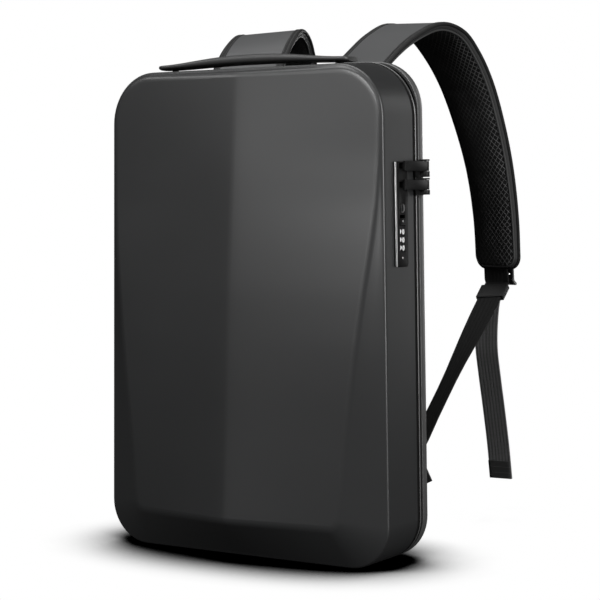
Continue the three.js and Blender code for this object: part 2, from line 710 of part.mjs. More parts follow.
// A pull: a barrel round the slider's pin, a flat tab, and a prong that dips into the lock's slot.
function pullGeometry() {
  const z = pullTall / 2;
  const overSlider = plateX + sliderPlate + gap;
  const rampEnd = zipBack - sliderHalf - gap;
  const rampStart = rampEnd - (overSlider - pullX) * 1.6;
  let solid = solidOf(box(pullX, pullX + pullThick, pullLead, rampStart + 0.1, -z, z));
  const arm = new THREE.Shape([
    new THREE.Vector2(pullX, rampStart),
    new THREE.Vector2(pullX + pullThick, rampStart),
    new THREE.Vector2(barrelX + barrelRadius * 0.9, barrelBack - 0.8),
    new THREE.Vector2(barrelX, barrelBack),
    new THREE.Vector2(barrelX - barrelRadius * 0.75, barrelBack - 1.6),
    new THREE.Vector2(overSlider, rampEnd),
  ]);
  const armGeometry = new THREE.ExtrudeGeometry(arm, { depth: pullTall, bevelEnabled: false });
  armGeometry.translate(0, 0, -z);
  const barrel = rod(barrelRadius, pullTall, 18, barrelX, barrelBack, 0);
  solid = solid.add(solidOf(armGeometry)).add(solidOf(barrel));
  const prong = box(
    faceX - prongDeep, pullX + overlap, pullLead, pullLead + prongWide, -prongTall / 2, prongTall / 2,
  );
  solid = solid.add(solidOf(prong));
  const eye = rod(pinRadius + gap, pullTall + 2, 12, barrelX, barrelBack, 0);
  return geometryOf(solid.subtract(solidOf(eye)));
}

function buildLock() {
  const lock = new THREE.Group();
  lockMatrix.decompose(lock.position, lock.quaternion, lock.scale);
  model.add(lock);
  addPiece("lock_body", lockBody(), materials.plastic, lock);
  const half = lockHeight / 2;
  const front = -lockWidth / 2;
  const trim = box(faceX - trimProud + gap, faceX + trimProud, front, front + trimWidth, -half, half);
  addPiece("lock_trim", trim, materials.metal, lock);
  dialHeights.forEach((z, i) => {
    const dial = addPiece(`lock_dial_${i + 1}`, dialGeometry(), materials.plastic, lock);
    dial.position.set(dialX, faceBack, z);
  });
  addPiece("lock_key_core", keyCore(), materials.metal, lock).position.set(0, faceBack, keyUp);
  addPiece("lock_release", releaseButton(), materials.plastic, lock).position.set(0, faceBack, releaseUp);
  ["upper", "lower"].forEach((name, i) => {
    const place = new THREE.Group();
    place.position.set(0, 0, pullUps[i]);
    lock.add(place);
    addPiece(`zip_slider_${name}`, sliderGeometry(sliderDrops[i]), materials.plastic, place);
    addPiece(`zip_pull_${name}`, pullGeometry(), materials.plastic, place);
  });
}

const panelBackY = rearBackY + gap + panelThick;
const flare = radians(strapFlare);
const strapOut = point(Math.sin(flare), Math.cos(flare), 0);
const strapAcross = point(Math.cos(flare), -Math.sin(flare), 0);
const crestUp = strapRootUp + strapLift;
const strapEndUp = crestUp - strapFall;

// A place on the right strap's plane: out from the back panel, aside across the strap, up from the floor.
function onStrap(out, aside, up) {
  const p = point(strapRootX, panelBackY, up);
  return p.addScaledVector(strapOut, out).addScaledVector(strapAcross, aside);
}

// Stations along the strap, each with its middle, its width direction, its outward direction and the
// pad's thickness there.
function strapStations(count) {
  const rootOff = gap + faceThick;
  const spots = strapRows.map(({ out, down }) => {
    return point(out * strapReach + rootOff, 0, crestUp - down * strapFall);
  });
  const curve = new THREE.CatmullRomCurve3(spots, false, "centripetal");
  const stations = [];
  for (let i = 0; i <= count; i++) {
    const t = i / count;
    const spot = curve.getPoint(t);
    const tangent = curve.getTangent(t);
    const seat = t * (strapRows.length - 1);
    const low = Math.min(Math.floor(seat), strapRows.length - 2);
    const value = (key) => lerp(strapRows[low][key], strapRows[low + 1][key], seat - low);
    const along = strapOut.clone().multiplyScalar(tangent.x).add(point(0, 0, tangent.z));
    const turned = radians(strapFlare * value("turn"));
    const across = point(Math.cos(turned), -Math.sin(turned), -Math.sin(radians(strapLean * value("lean"))));
    across.addScaledVector(along, -across.dot(along)).normalize();
    const skin = across.clone().cross(along).normalize();
    const middle = onStrap(spot.x, value("aside") * strapWide, spot.z);
    const half = (value("wide") * strapWide) / 2;
    stations.push({ middle, across, skin, half, pad: lerp(padRootThick, padThick, value("pad")) });
  }
  return stations;
}

// The strap's half width at each station, drawn in round its lower end.
function strapHalves(stations) {
  const last = stations[stations.length - 1].middle;
  return stations.map(({ middle, half }) => {
    const left = Math.min(middle.distanceTo(last), strapEndRound);
    const inset = strapEndRound - Math.sqrt(strapEndRound ** 2 - (strapEndRound - left) ** 2);
    return half - Math.min(inset, strapEndRound * 0.7);
  });
}

// One layer of the strap between two distances from its face, with its edges rolled by roll.
function strapLayer(from, to, roll) {
  const steps = 36;
  const stations = strapStations(steps);
  const last = stations[steps];
  const extra = [0.6, 0.85].map((share) => blendStation(stations[steps - 1], last, share));
  stations.splice(steps, 0, ...extra);
  const halves = strapHalves(stations);
  const rings = stations.map((station, i) => {
    const { middle, across, skin, pad } = station;
    const [near, far] = [from(pad), to(pad)];
    const soft = Math.min(roll, Math.abs(far - near) / 2.2);
    const corner = (aside, deep) => middle.clone().addScaledVector(across, aside).addScaledVector(skin, deep);
    const half = halves[i];
    const side = Math.sign(far - near) * soft;
    return [
      corner(-half, near), corner(half, near), corner(half, far - side),
      corner(half - soft, far), corner(-half + soft, far), corner(-half, far - side),
    ];
  });
  return loft(rings);
}

function blendStation(a, b, share) {
  return {
    middle: a.middle.clone().lerp(b.middle, share),
    across: a.across.clone().lerp(b.across, share).normalize(),
    skin: a.skin.clone().lerp(b.skin, share).normalize(),
    half: lerp(a.half, b.half, share),
    pad: lerp(a.pad, b.pad, share),
  };
}

// A band of webbing along stations of middle, width direction and thickness.
function band(stations, wide, thick) {
  const rings = stations.map(({ middle, across }, i) => {
    const before = stations[Math.max(i - 1, 0)].middle;
    const after = stations[Math.min(i + 1, stations.length - 1)].middle;
    const along = after.clone().sub(before).normalize();
    const side = across.clone().addScaledVector(along, -across.dot(along)).normalize();
    const normal = along.clone().cross(side);
    const corner = (u, v) => {
      const edge = middle.clone().addScaledVector(side, (u * wide) / 2);
      return edge.addScaledVector(normal, (v * thick) / 2);
    };
    return [corner(-1, -1), corner(1, -1), corner(1, 1), corner(-1, 1)];
  });
  return loft(rings);
}

// The buckle's frame: its middle, across, down its length and out of its face.
function buckleFrame() {
  const turn = radians(hardwareTurn);
  const across = point(Math.cos(turn), Math.sin(turn), 0);
  const level = point(-Math.sin(turn), Math.cos(turn), 0);
  const tilt = radians(buckleTilt);
  const down = level.clone().multiplyScalar(Math.sin(tilt)).add(point(0, 0, -Math.cos(tilt)));
  const out = level.clone().multiplyScalar(Math.cos(tilt)).add(point(0, 0, Math.sin(tilt)));
  const clear = (webWide / 2) * Math.sin(flare + turn);
  const behind = faceThick + 2 * gap + webThick + buckleThick / 2 + clear + buckleHalfLong * Math.sin(tilt);
  const middle = onStrap(strapReach + faceThick + gap + behind, webAside, strapEndUp + buckleDrop);
  const at = (u, d, n) => {
    const spot = middle.clone().addScaledVector(across, u);
    return spot.addScaledVector(down, d).addScaledVector(out, n);
  };
  return { middle, across, down, out, at };
}
const buckle = buckleFrame();

const firstSlot = -buckleHalfLong + barLong;
const secondSlot = firstSlot + slotLong + barLong;
const thirdSlot = secondSlot + slotLong + barLong;

// The lip at the buckle's lower end curls out of its face: shares of lipFlare past the end and the face.
const lipRows = [
  { ahead: 0.45, rise: -0.325 },
  { ahead: 0.75, rise: 0.45 },
  { ahead: 0.5, rise: 0.62 },
  { ahead: 0.15, rise: 0.112 },
];

function buckleGeometry() {
  const normal = buckle.across.clone().cross(buckle.down);
  const matrix = new THREE.Matrix4().makeBasis(buckle.across, buckle.down, normal);
  matrix.setPosition(buckle.middle);
  const outSign = Math.sign(normal.dot(buckle.out));
  const half = buckleThick / 2;
  const shape = new THREE.Shape();
  const [w, l, r] = [buckleHalfWide, buckleHalfLong, 3];
  shape.moveTo(-w + r, -l);
  shape.lineTo(w - r, -l);
  shape.absarc(w - r, -l + r, r, -Math.PI / 2, 0);
  shape.lineTo(w, l);
  shape.lineTo(-w, l);
  shape.absarc(-w + r, -l + r, r, Math.PI, Math.PI * 1.5);
  const extent = { depth: buckleThick, bevelEnabled: false, curveSegments: 3 };
  const plate = new THREE.ExtrudeGeometry(shape, extent);
  plate.translate(0, 0, -half);
  let solid = solidOf(plate);
  for (const start of [firstSlot, secondSlot, thirdSlot]) {
    const end = start + slotLong;
    const slotHalf = webWide / 2 + slotRoom;
    solid = solid.subtract(solidOf(box(-slotHalf, slotHalf, start, end, -half - 1, half + 1)));
  }
  const lip = new THREE.Shape([
    new THREE.Vector2(l - overlap, -half),
    ...lipRows.map(({ ahead, rise }) => new THREE.Vector2(l + lipFlare * ahead, half + lipFlare * rise)),
    new THREE.Vector2(l - overlap, half),
  ]);
  const lipGeometry = new THREE.ExtrudeGeometry(lip, { depth: 2 * w, bevelEnabled: false });
  const [lengthwise, proud, sideways] = [point(0, 1, 0), point(0, 0, outSign), point(outSign, 0, 0)];
  lipGeometry.applyMatrix4(new THREE.Matrix4().makeBasis(lengthwise, proud, sideways));
  lipGeometry.translate(-w * outSign, 0, 0);
  solid = solid.add(solidOf(outward(lipGeometry)));
  return inPlace(geometryOf(solid), matrix);
}

const strand = buckleThick / 2 + gap + webThick / 2;

// The short web that is sewn to the strap's outer face and loops round the buckle's top bar.
function tabGeometry() {
  const rise = strapEndUp + tabLong;
  const flush = strapReach + 2 * gap + 2 * faceThick + webThick / 2;
  const loop = firstSlot + slotLong / 2 + 0.2;
  const stations = [
    { middle: onStrap(flush, webAside, rise), across: strapAcross },
    { middle: onStrap(flush + gap, webAside, rise - tabLong * 0.3), across: strapAcross },
    { middle: buckle.at(0, -buckleHalfLong - 1.5, -strand), across: buckle.across },
    { middle: buckle.at(0, firstSlot - 0.6, -strand), across: buckle.across },
    { middle: buckle.at(0, loop, -strand * 0.62), across: buckle.across },
    { middle: buckle.at(0, loop, strand * 0.62), across: buckle.across },
    { middle: buckle.at(0, firstSlot - 0.6, strand), across: buckle.across },
    { middle: buckle.at(0, -buckleHalfLong - 4, strand), across: buckle.across },
  ];
  return band(stations, webWide, webThick);
}

// Where the webbing runs: from the buckle down to its anchor on the back panel's lower corner.
const anchor = point(anchorX, panelBackY + gap + anchorThick + gap + webThick / 2, anchorUp);
const webTop = buckle.at(0, buckleHalfLong + 2, -strand - webThick - gap);
const anchorAcross = point(Math.cos(radians(anchorTurn)), 0, Math.sin(radians(anchorTurn)));
const anchorUpward = point(-anchorAcross.z, 0, anchorAcross.x);
const webFoot = anchor.clone().addScaledVector(anchorUpward, 12).add(point(0, 2.8, 0));
const webAlong = webFoot.clone().sub(webTop).normalize();
const webUnder = webAlong.clone().cross(buckle.across).normalize();
if (webUnder.z > 0) webUnder.negate();
const keeperMiddle = webTop.clone().addScaledVector(webAlong, keeperAlong);

// One strip of webbing: from the anchor up to the buckle, over its middle bar and down to the free end.
function webGeometry() {
  const inner = strand + webThick + gap;
  const through = secondSlot + slotLong / 2;
  const back = thirdSlot + slotLong / 2;
  const twisted = point(Math.cos(radians(webTwist)), Math.sin(radians(webTwist)), 0);
  const blendAcross = (t) => {
    const first = buckle.across.clone().lerp(twisted, THREE.MathUtils.smoothstep(t, 0.12, 0.6));
    return first.lerp(anchorAcross, THREE.MathUtils.smoothstep(t, 0.75, 1)).normalize();
  };
  const stations = [];
  const add = (middle, across) => stations.push({ middle, across });
  for (const [rise, off] of [[-10, 0], [-2, 0], [5, 0.05], [9, 0.7]]) {
    add(anchor.clone().addScaledVector(anchorUpward, rise).add(point(0, off, 0)), anchorAcross);
  }
  const steps = 10;
  for (let i = steps; i > 0; i--) add(webTop.clone().lerp(webFoot, i / steps), blendAcross(i / steps));
  add(webTop.clone().addScaledVector(webAlong, 3), buckle.across);
  add(webTop.clone(), buckle.across);
  add(buckle.at(0, back + 2, -inner), buckle.across);
  add(buckle.at(0, through + 1.5, -inner), buckle.across);
  add(buckle.at(0, through - 0.5, -inner * 0.66), buckle.across);
  add(buckle.at(0, through - 0.5, strand * 0.5), buckle.across);
  add(buckle.at(0, through + 1.4, strand), buckle.across);
  add(buckle.at(0, back - 1.4, strand), buckle.across);
  add(buckle.at(0, back + 0.3, strand * 0.5), buckle.across);
  add(buckle.at(0, back + 0.4, -strand * 0.5), buckle.across);
  add(buckle.at(0, back + 1.6, -strand), buckle.across);
  add(buckle.at(0, buckleHalfLong + 1.5, -strand), buckle.across);
  const under = webThick + gap;
  const keeperHalf = keeperLong / 2;
  for (const step of [-keeperHalf - 2.5, -keeperHalf, keeperHalf + 0.5, keeperHalf + 3]) {
    const spot = webTop.clone().addScaledVector(webAlong, keeperAlong + step);
    add(spot.addScaledVector(webUnder, under), buckle.across);
  }
  const leave = stations[stations.length - 1].middle.clone();
  for (const row of tailRows) {
    const spot = leave.clone().add(point(row.aside * tailSwing, row.out * tailSwing, -row.down * tailLong));
    add(spot, buckle.across);
  }
  return band(stations, webWide, webThick);
}

// The sleeve round the tight web and the free end, just below the buckle.
function keeperGeometry() {
  const middle = keeperMiddle.clone().addScaledVector(webUnder, (webThick + gap) / 2);
  const halfWide = webWide / 2 + gap;
  const halfDeep = webThick + gap * 1.5;
  const along = webAlong.clone();
  const side = buckle.across.clone().addScaledVector(along, -buckle.across.dot(along)).normalize();
  const matrix = new THREE.Matrix4().makeBasis(side, along, side.clone().cross(along)).setPosition(middle);
  const [w, d, l] = [halfWide + keeperThick, halfDeep + keeperThick, keeperLong / 2];
  const sleeve = solidOf(box(-w, w, -l, l, -d, d));
  const hollow = solidOf(box(-halfWide, halfWide, -l - 1, l + 1, -halfDeep, halfDeep));
  return inPlace(geometryOf(sleeve.subtract(hollow)), matrix);
}

// The patch on the back panel that the webbing's lower end is sewn to.
function anchorGeometry() {
  const y = panelBackY + gap;
  const across = anchorAcross;
  const down = point(across.z, 0, -across.x);
  const matrix = new THREE.Matrix4().makeBasis(across, point(0, 1, 0), across.clone().cross(point(0, 1, 0)));
  matrix.setPosition(anchor.x - down.x * 2, y, anchor.z - down.z * 2);
  const [w, l] = [anchorWide / 2, anchorLong / 2];
  return outward(inPlace(box(-w, w, 0, anchorThick, -l, l), matrix).toNonIndexed());
}

function buildStraps() {
  const pieces = {
    strap_face: [strapLayer(() => 0, () => faceThick, 0.5), materials.cloth],
    strap_pad: [strapLayer(() => -gap, (pad) => -gap - pad, 3), materials.lining],
    strap_tab: [tabGeometry(), materials.web],
    strap_buckle: [buckleGeometry(), materials.plastic],
    strap_web: [webGeometry(), materials.web],
    web_keeper: [keeperGeometry(), materials.web],
    web_anchor: [anchorGeometry(), materials.web],
  };
  for (const [name, [geometry, material]] of Object.entries(pieces)) {
    addPiece(`${name}_right`, geometry, material);
    addPiece(`${name}_left`, mirrored(geometry), material);
  }
}

buildFrontShell();
buildZip();
buildRearShell();
buildBackPanel();
buildHandle();
buildPosts();
buildLock();
buildStraps();

export default model;
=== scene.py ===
# A hard shell backpack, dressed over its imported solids. Lengths are in millimetres until a mesh is made.
# X runs to the side with the lock, Y from the faceted front to the straps, and Z up from the floor.
import math

import bmesh
import bpy
import numpy as np
from mathutils import Matrix, Vector


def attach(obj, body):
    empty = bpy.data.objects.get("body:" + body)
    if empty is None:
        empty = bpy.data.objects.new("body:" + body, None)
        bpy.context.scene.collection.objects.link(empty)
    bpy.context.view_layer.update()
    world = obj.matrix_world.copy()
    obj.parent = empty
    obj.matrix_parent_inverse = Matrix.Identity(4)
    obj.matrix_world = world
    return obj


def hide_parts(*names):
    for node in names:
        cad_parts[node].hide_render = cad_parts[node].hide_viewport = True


print("backpack: loading the frame")
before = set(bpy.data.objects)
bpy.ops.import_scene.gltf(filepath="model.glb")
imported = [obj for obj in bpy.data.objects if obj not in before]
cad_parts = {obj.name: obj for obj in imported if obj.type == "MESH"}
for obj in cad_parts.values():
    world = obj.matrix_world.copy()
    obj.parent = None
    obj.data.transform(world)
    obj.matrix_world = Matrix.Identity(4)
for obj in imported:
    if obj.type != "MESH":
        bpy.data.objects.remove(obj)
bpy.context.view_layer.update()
scene = bpy.context.scene
scene.view_settings.view_transform = "Standard"


def addMesh(name, points, faces, uvs=None, sharp=None):
    mesh = bpy.data.meshes.new(name)
    mesh.from_pydata([tuple(float(v) / 1000 for v in p) for p in points], [], faces)
    if uvs is not None:
        layer = mesh.uv_layers.new(name="UVMap")
        for loop in mesh.loops:
            layer.data[loop.index].uv = uvs[loop.vertex_index]
    mesh.validate()
    mesh.shade_smooth()
    if sharp:
        mesh.set_sharp_from_angle(angle=math.radians(sharp))
    thing = bpy.data.objects.new(name, mesh)
    scene.collection.objects.link(thing)
    return thing


def faceOutwards(thing, sharp=None, merge=0.00001):
    work = bmesh.new()
    work.from_mesh(thing.data)
    bmesh.ops.remove_doubles(work, verts=work.verts, dist=merge)
    bmesh.ops.recalc_face_normals(work, faces=work.faces)
    work.to_mesh(thing.data)
    work.free()
    thing.data.shade_smooth()
    if sharp:
        thing.data.set_sharp_from_angle(angle=math.radians(sharp))
    return thing


def applyModifiers(thing):
    bpy.context.view_layer.update()
    settled = bpy.data.meshes.new_from_object(thing.evaluated_get(bpy.context.evaluated_depsgraph_get()))
    thing.modifiers.clear()
    thing.data = settled
    return thing


def mirrorCopy(thing, name):
    mesh = thing.data.copy()
    mesh.transform(Matrix.Scale(-1, 4, Vector((1, 0, 0))))
    mesh.flip_normals()
    copy = bpy.data.objects.new(name, mesh)
    scene.collection.objects.link(copy)
    return copy


def lerp(a, b, t):
    return a + (b - a) * t


def unit(v):
    return v / np.linalg.norm(v)


# How far along a run of points each of them lies.
def runLengths(points):
    steps = np.linalg.norm(np.diff(np.array(points, dtype=float), axis=0), axis=1)
    return np.concatenate([[0], np.cumsum(steps)])


def smoothStep(t, low, high):
    t = min(max((t - low) / (high - low), 0), 1)
    return t * t * (3 - 2 * t)


# Rows of points joined into quads; closed rows meet their own start, and capped ends are filled flat.
def skin(name, rows, closed=True, capped=True, uvs=None, sharp=None):
    count = len(rows[0])
    points = [p for row in rows for p in row]
    faces = []
    for r in range(len(rows) - 1):
        for i in range(count if closed else count - 1):
            j = (i + 1) % count
            faces.append((r * count + i, r * count + j, (r + 1) * count + j, (r + 1) * count + i))
    if capped and closed:
        faces.append(tuple(range(count))[::-1])
        faces.append(tuple(range((len(rows) - 1) * count, len(rows) * count)))
    return addMesh(name, points, faces, uvs, sharp)


print("backpack: camera")
camera = {
    "azimuth": 30.61, "pitch": -3.5, "roll": -0.26, "away": 1495, "aside": 52.9, "up": 324,
    "frontPlane": -29, "lens": 99.96, "sensor": 36, "clipEnd": 50,
}


def placeCamera():
    az, pitch, roll = (math.radians(camera[key]) for key in ("azimuth", "pitch", "roll"))
    side = np.array([math.cos(az), math.sin(az), 0])
    place = np.array([math.sin(az), -math.cos(az), 0]) * camera["away"] + side * camera["aside"]
    place[1] += camera["frontPlane"]
    place[2] = camera["up"]
    ahead = np.array([-math.sin(az) * math.cos(pitch), math.cos(az) * math.cos(pitch), math.sin(pitch)])
    up = np.cross(side, ahead)
    right = math.cos(roll) * side + math.sin(roll) * up
    top = -math.sin(roll) * side + math.cos(roll) * up
    lensData = bpy.data.cameras.new("camera")
    lensData.lens = camera["lens"]
    lensData.sensor_width = camera["sensor"]
    lensData.clip_end = camera["clipEnd"]
    eye = bpy.data.objects.new("camera", lensData)
    turn = Matrix((right, top, -ahead)).transposed().to_4x4()
    eye.matrix_world = Matrix.Translation(Vector(place / 1000)) @ turn
    scene.collection.objects.link(eye)
    scene.camera = eye


placeCamera()

print("backpack: floor and light")
studio = {
    "floorHalf": 30, "floorUnder": 0.0005, "floorBounce": 0.02, "skyTone": 0.015,
    "aim": (0, 0, 0.22), "shadeReach": 0.1, "shadeSamples": 32, "shadeFrom": 0.5, "shadeTo": 0.96,
    "lights": [
        {"name": "frontMirror", "at": (-0.1, -2.0, 1.2), "size": (0.9, 0.8), "power": 36},
        {"name": "edgeStrip", "at": (1.9, -0.5, 0.55), "size": (0.2, 1.6), "power": 40},
        {"name": "rearRight", "at": (0.9, 1.9, 0.45), "size": (0.9, 1.6), "power": 5},
        {"name": "rearSoft", "at": (-0.4, 2.2, 0.45), "size": (1.4, 0.7), "power": 22},
        {"name": "leftHigh", "at": (-1.0, -0.9, 1.25), "size": (0.5, 0.5), "power": 5},
        {"name": "topPanel", "at": (0.0, -0.2, 2.2), "size": (1.8, 1.2), "power": 34},
    ],
}


# A white floor with a soft shade near what stands on it, seen through from below, and the lights.
def buildStudio():
    half = studio["floorHalf"]
    low = -studio["floorUnder"]
    mesh = bpy.data.meshes.new("floor")
    corners = [(-half, -half, low), (half, -half, low), (half, half, low), (-half, half, low)]
    mesh.from_pydata(corners, [], [(0, 1, 2, 3)])
    floor = bpy.data.objects.new("floor", mesh)
    scene.collection.objects.link(floor)
    paint = bpy.data.materials.new("floorPaint")
    paint.use_nodes = True
    nodes, links = paint.node_tree.nodes, paint.node_tree.links
    nodes.clear()
    shade = nodes.new("ShaderNodeAmbientOcclusion")
    shade.samples = studio["shadeSamples"]
    shade.inputs["Distance"].default_value = studio["shadeReach"]
    clear = nodes.new("ShaderNodeMapRange")
    clear.interpolation_type = "SMOOTHSTEP"
    clear.inputs["From Min"].default_value = studio["shadeFrom"]
    clear.inputs["From Max"].default_value = studio["shadeTo"]
    seen = nodes.new("ShaderNodeEmission")
    bounced = nodes.new("ShaderNodeBsdfDiffuse")
    bounced.inputs["Color"].default_value = (studio["floorBounce"],) * 3 + (1,)
    path = nodes.new("ShaderNodeLightPath")
    mix = nodes.new("ShaderNodeMixShader")
    output = nodes.new("ShaderNodeOutputMaterial")
    links.new(shade.outputs["AO"], clear.inputs["Value"])
    links.new(clear.outputs["Result"], seen.inputs["Color"])
    links.new(path.outputs["Is Camera Ray"], mix.inputs[0])
    links.new(bounced.outputs[0], mix.inputs[1])
    links.new(seen.outputs[0], mix.inputs[2])
    geometry = nodes.new("ShaderNodeNewGeometry")
    through = nodes.new("ShaderNodeBsdfTransparent")
    under = nodes.new("ShaderNodeMixShader")
    links.new(geometry.outputs["Backfacing"], under.inputs[0])
    links.new(mix.outputs[0], under.inputs[1])
    links.new(through.outputs[0], under.inputs[2])
    links.new(under.outputs[0], output.inputs["Surface"])
    mesh.materials.append(paint)

    world = bpy.data.worlds.new("studioSky")
    scene.world = world
    world.use_nodes = True
    nodes, links = world.node_tree.nodes, world.node_tree.links
    back = nodes["Background"]
    path = nodes.new("ShaderNodeLightPath")
    mix = nodes.new("ShaderNodeMix")
    mix.data_type = "RGBA"
    mix.inputs["A"].default_value = (studio["skyTone"],) * 3 + (1,)
    mix.inputs["B"].default_value = (1, 1, 1, 1)
    links.new(path.outputs["Is Camera Ray"], mix.inputs["Factor"])
    links.new(mix.outputs["Result"], back.inputs["Color"])

    for lamp in studio["lights"]:
        data = bpy.data.lights.new(lamp["name"], "AREA")
        data.shape = "RECTANGLE"
        data.size, data.size_y = lamp["size"]
        data.energy = lamp["power"]
        light = bpy.data.objects.new(lamp["name"], data)
        light.location = lamp["at"]
        aim = Vector(studio["aim"]) - Vector(lamp["at"])
        light.rotation_euler = aim.to_track_quat("-Z", "Y").to_euler()
        scene.collection.objects.link(light)


buildStudio()

print("backpack: materials")


# A material with a Principled shader; values are set on the shader's own sockets.
def newMaterial(name, color, roughness, **values):
    material = bpy.data.materials.new(name)
    material.use_nodes = True
    shader = material.node_tree.nodes["Principled BSDF"]
    shader.inputs["Base Color"].default_value = (*color, 1)
    shader.inputs["Roughness"].default_value = roughness
    names = {
        "metallic": "Metallic", "coat": "Coat Weight", "coatRoughness": "Coat Roughness",
        "sheen": "Sheen Weight", "specular": "Specular IOR Level",
    }
    for key, value in values.items():
        shader.inputs[names[key]].default_value = value
    return material, material.node_tree.nodes, material.node_tree.links, shader


def newGroup(name, inputs, outputs):
    group = bpy.data.node_groups.new(name, "ShaderNodeTree")
    for label, kind, value in inputs:
        socket = group.interface.new_socket(label, in_out="INPUT", socket_type=kind)
        if value is not None:
            socket.default_value = value
    for label, kind in outputs:
        group.interface.new_socket(label, in_out="OUTPUT", socket_type=kind)
    start = group.nodes.new("NodeGroupInput")
    end = group.nodes.new("NodeGroupOutput")
    return group, group.nodes, group.links, start, end


def useGroup(nodes, group, **values):
    node = nodes.new("ShaderNodeGroup")
    node.node_tree = group
    for key, value in values.items():
        node.inputs[key].default_value = value
    return node


def maths(nodes, links, operation, a, b=None, c=None):
    node = nodes.new("ShaderNodeMath")
    node.operation = operation
    for i, value in enumerate((a, b, c)):
        if value is None:
            continue
        if isinstance(value, (int, float)):
            node.inputs[i].default_value = value
        else:
            links.new(value, node.inputs[i])
    return node.outputs[0]


grainLook = {"fineShare": 0.35, "darkAt": 0.3, "lightAt": 0.7}
# shade, darkAt and lightAt set the cloth's colour from the weave's height: painted shade in its hollows
weaveLook = {
    "crown": 0.6, "flank": 0.3, "ribShare": 1.6, "ribRound": 0.5,
    "shade": 0.35, "darkAt": 0.15, "lightAt": 0.95, "bump": 0.7,
}
meshLook = {
    "thin": 22.0, "clothPitch": 0.75, "fineness": 700.0, "patches": 30.0,
    "wear": 1.6, "wearLow": -0.2, "faintest": 0.08, "darkAt": 0.15, "lightAt": 0.9,
    "clothBump": 0.5, "clothDeep": 0.0001, "lineBump": 0.8, "lineDeep": 0.0004,
}


# Fine speckle of moulded or coated surfaces: a tone and a height.
def buildGrainGroup():
    group, nodes, links, start, end = newGroup(
        "fineGrain",
        [("Vector", "NodeSocketVector", None), ("Fineness", "NodeSocketFloat", 900.0),
         ("Patches", "NodeSocketFloat", 9.0)],
        [("Tone", "NodeSocketFloat"), ("Height", "NodeSocketFloat")],
    )
    grain = nodes.new("ShaderNodeTexNoise")
    grain.inputs["Detail"].default_value = 3
    patches = nodes.new("ShaderNodeTexNoise")
    patches.inputs["Detail"].default_value = 4
    for node in (grain, patches):
        links.new(start.outputs["Vector"], node.inputs["Vector"])
    links.new(start.outputs["Fineness"], grain.inputs["Scale"])
    links.new(start.outputs["Patches"], patches.inputs["Scale"])
    tone = maths(nodes, links, "MULTIPLY", grain.outputs["Fac"], grainLook["fineShare"])
    both = maths(nodes, links, "MULTIPLY_ADD", patches.outputs["Fac"], 1 - grainLook["fineShare"], tone)
    links.new(both, end.inputs["Tone"])
    links.new(grain.outputs["Fac"], end.inputs["Height"])
    return group


# Threads over and under each other, across and along: a height and a mask of which thread is on top.
def buildWeaveGroup():
    group, nodes, links, start, end = newGroup(
        "clothWeave",
        [("Across", "NodeSocketFloat", 0.0), ("Along", "NodeSocketFloat", 0.0),
         ("Pitch", "NodeSocketFloat", 1.0), ("Stretch", "NodeSocketFloat", 1.0)],
        [("Height", "NodeSocketFloat"), ("Mask", "NodeSocketFloat")],
    )
    across = maths(nodes, links, "DIVIDE", start.outputs["Across"], start.outputs["Pitch"])
    pitchAlong = maths(nodes, links, "MULTIPLY", start.outputs["Pitch"], start.outputs["Stretch"])
    along = maths(nodes, links, "DIVIDE", start.outputs["Along"], pitchAlong)
    waves = []
    for value in (across, along):
        turned = maths(nodes, links, "MULTIPLY", value, math.pi)
        waves.append(maths(nodes, links, "ABSOLUTE", maths(nodes, links, "SINE", turned)))
    cellAcross = maths(nodes, links, "FLOOR", across)
    cellAlong = maths(nodes, links, "FLOOR", along)
    parity = maths(nodes, links, "FLOORED_MODULO", maths(nodes, links, "ADD", cellAcross, cellAlong), 2.0)
    swap = nodes.new("ShaderNodeMix")
    links.new(parity, swap.inputs["Factor"])
    for socket, crown, flank in (("A", *waves), ("B", *waves[::-1])):
        steep = maths(nodes, links, "POWER", crown, weaveLook["crown"])
        shallow = maths(nodes, links, "POWER", flank, weaveLook["flank"])
        links.new(maths(nodes, links, "MULTIPLY", steep, shallow), swap.inputs[socket])
    links.new(swap.outputs["Result"], end.inputs["Height"])
    links.new(parity, end.inputs["Mask"])
    return group


# Two crossing sets of slanting ridges, as on spacer mesh: a line mask and a height.
def buildDiamondGroup():
    group, nodes, links, start, end = newGroup(
        "diamondMesh",
        [("Across", "NodeSocketFloat", 0.0), ("Along", "NodeSocketFloat", 0.0),
         ("Pitch", "NodeSocketFloat", 4.4), ("Lean", "NodeSocketFloat", 0.8),
         ("Thin", "NodeSocketFloat", 9.0)],
        [("Lines", "NodeSocketFloat"), ("Height", "NodeSocketFloat")],
    )
    leaned = maths(nodes, links, "MULTIPLY", start.outputs["Along"], start.outputs["Lean"])
    ridges = []
    for operation in ("ADD", "SUBTRACT"):
        slanted = maths(nodes, links, operation, start.outputs["Across"], leaned)
        counted = maths(nodes, links, "DIVIDE", slanted, start.outputs["Pitch"])
        turned = maths(nodes, links, "MULTIPLY", counted, math.pi)
        wave = maths(nodes, links, "ABSOLUTE", maths(nodes, links, "COSINE", turned))
        ridges.append(maths(nodes, links, "POWER", wave, start.outputs["Thin"]))
    lines = maths(nodes, links, "MAXIMUM", ridges[0], ridges[1])
    links.new(lines, end.inputs["Lines"])
    links.new(lines, end.inputs["Height"])
    return group


grainGroup = buildGrainGroup()
weaveGroup = buildWeaveGroup()
diamondGroup = buildDiamondGroup()


def addBump(nodes, links, shader, height, strength, distance, under=None):
    bump = nodes.new("ShaderNodeBump")
    bump.inputs["Strength"].default_value = strength
    bump.inputs["Distance"].default_value = distance
    links.new(height, bump.inputs["Height"])
    if under is not None:
        links.new(under.outputs["Normal"], bump.inputs["Normal"])
    links.new(bump.outputs["Normal"], shader.inputs["Normal"])
    return bump


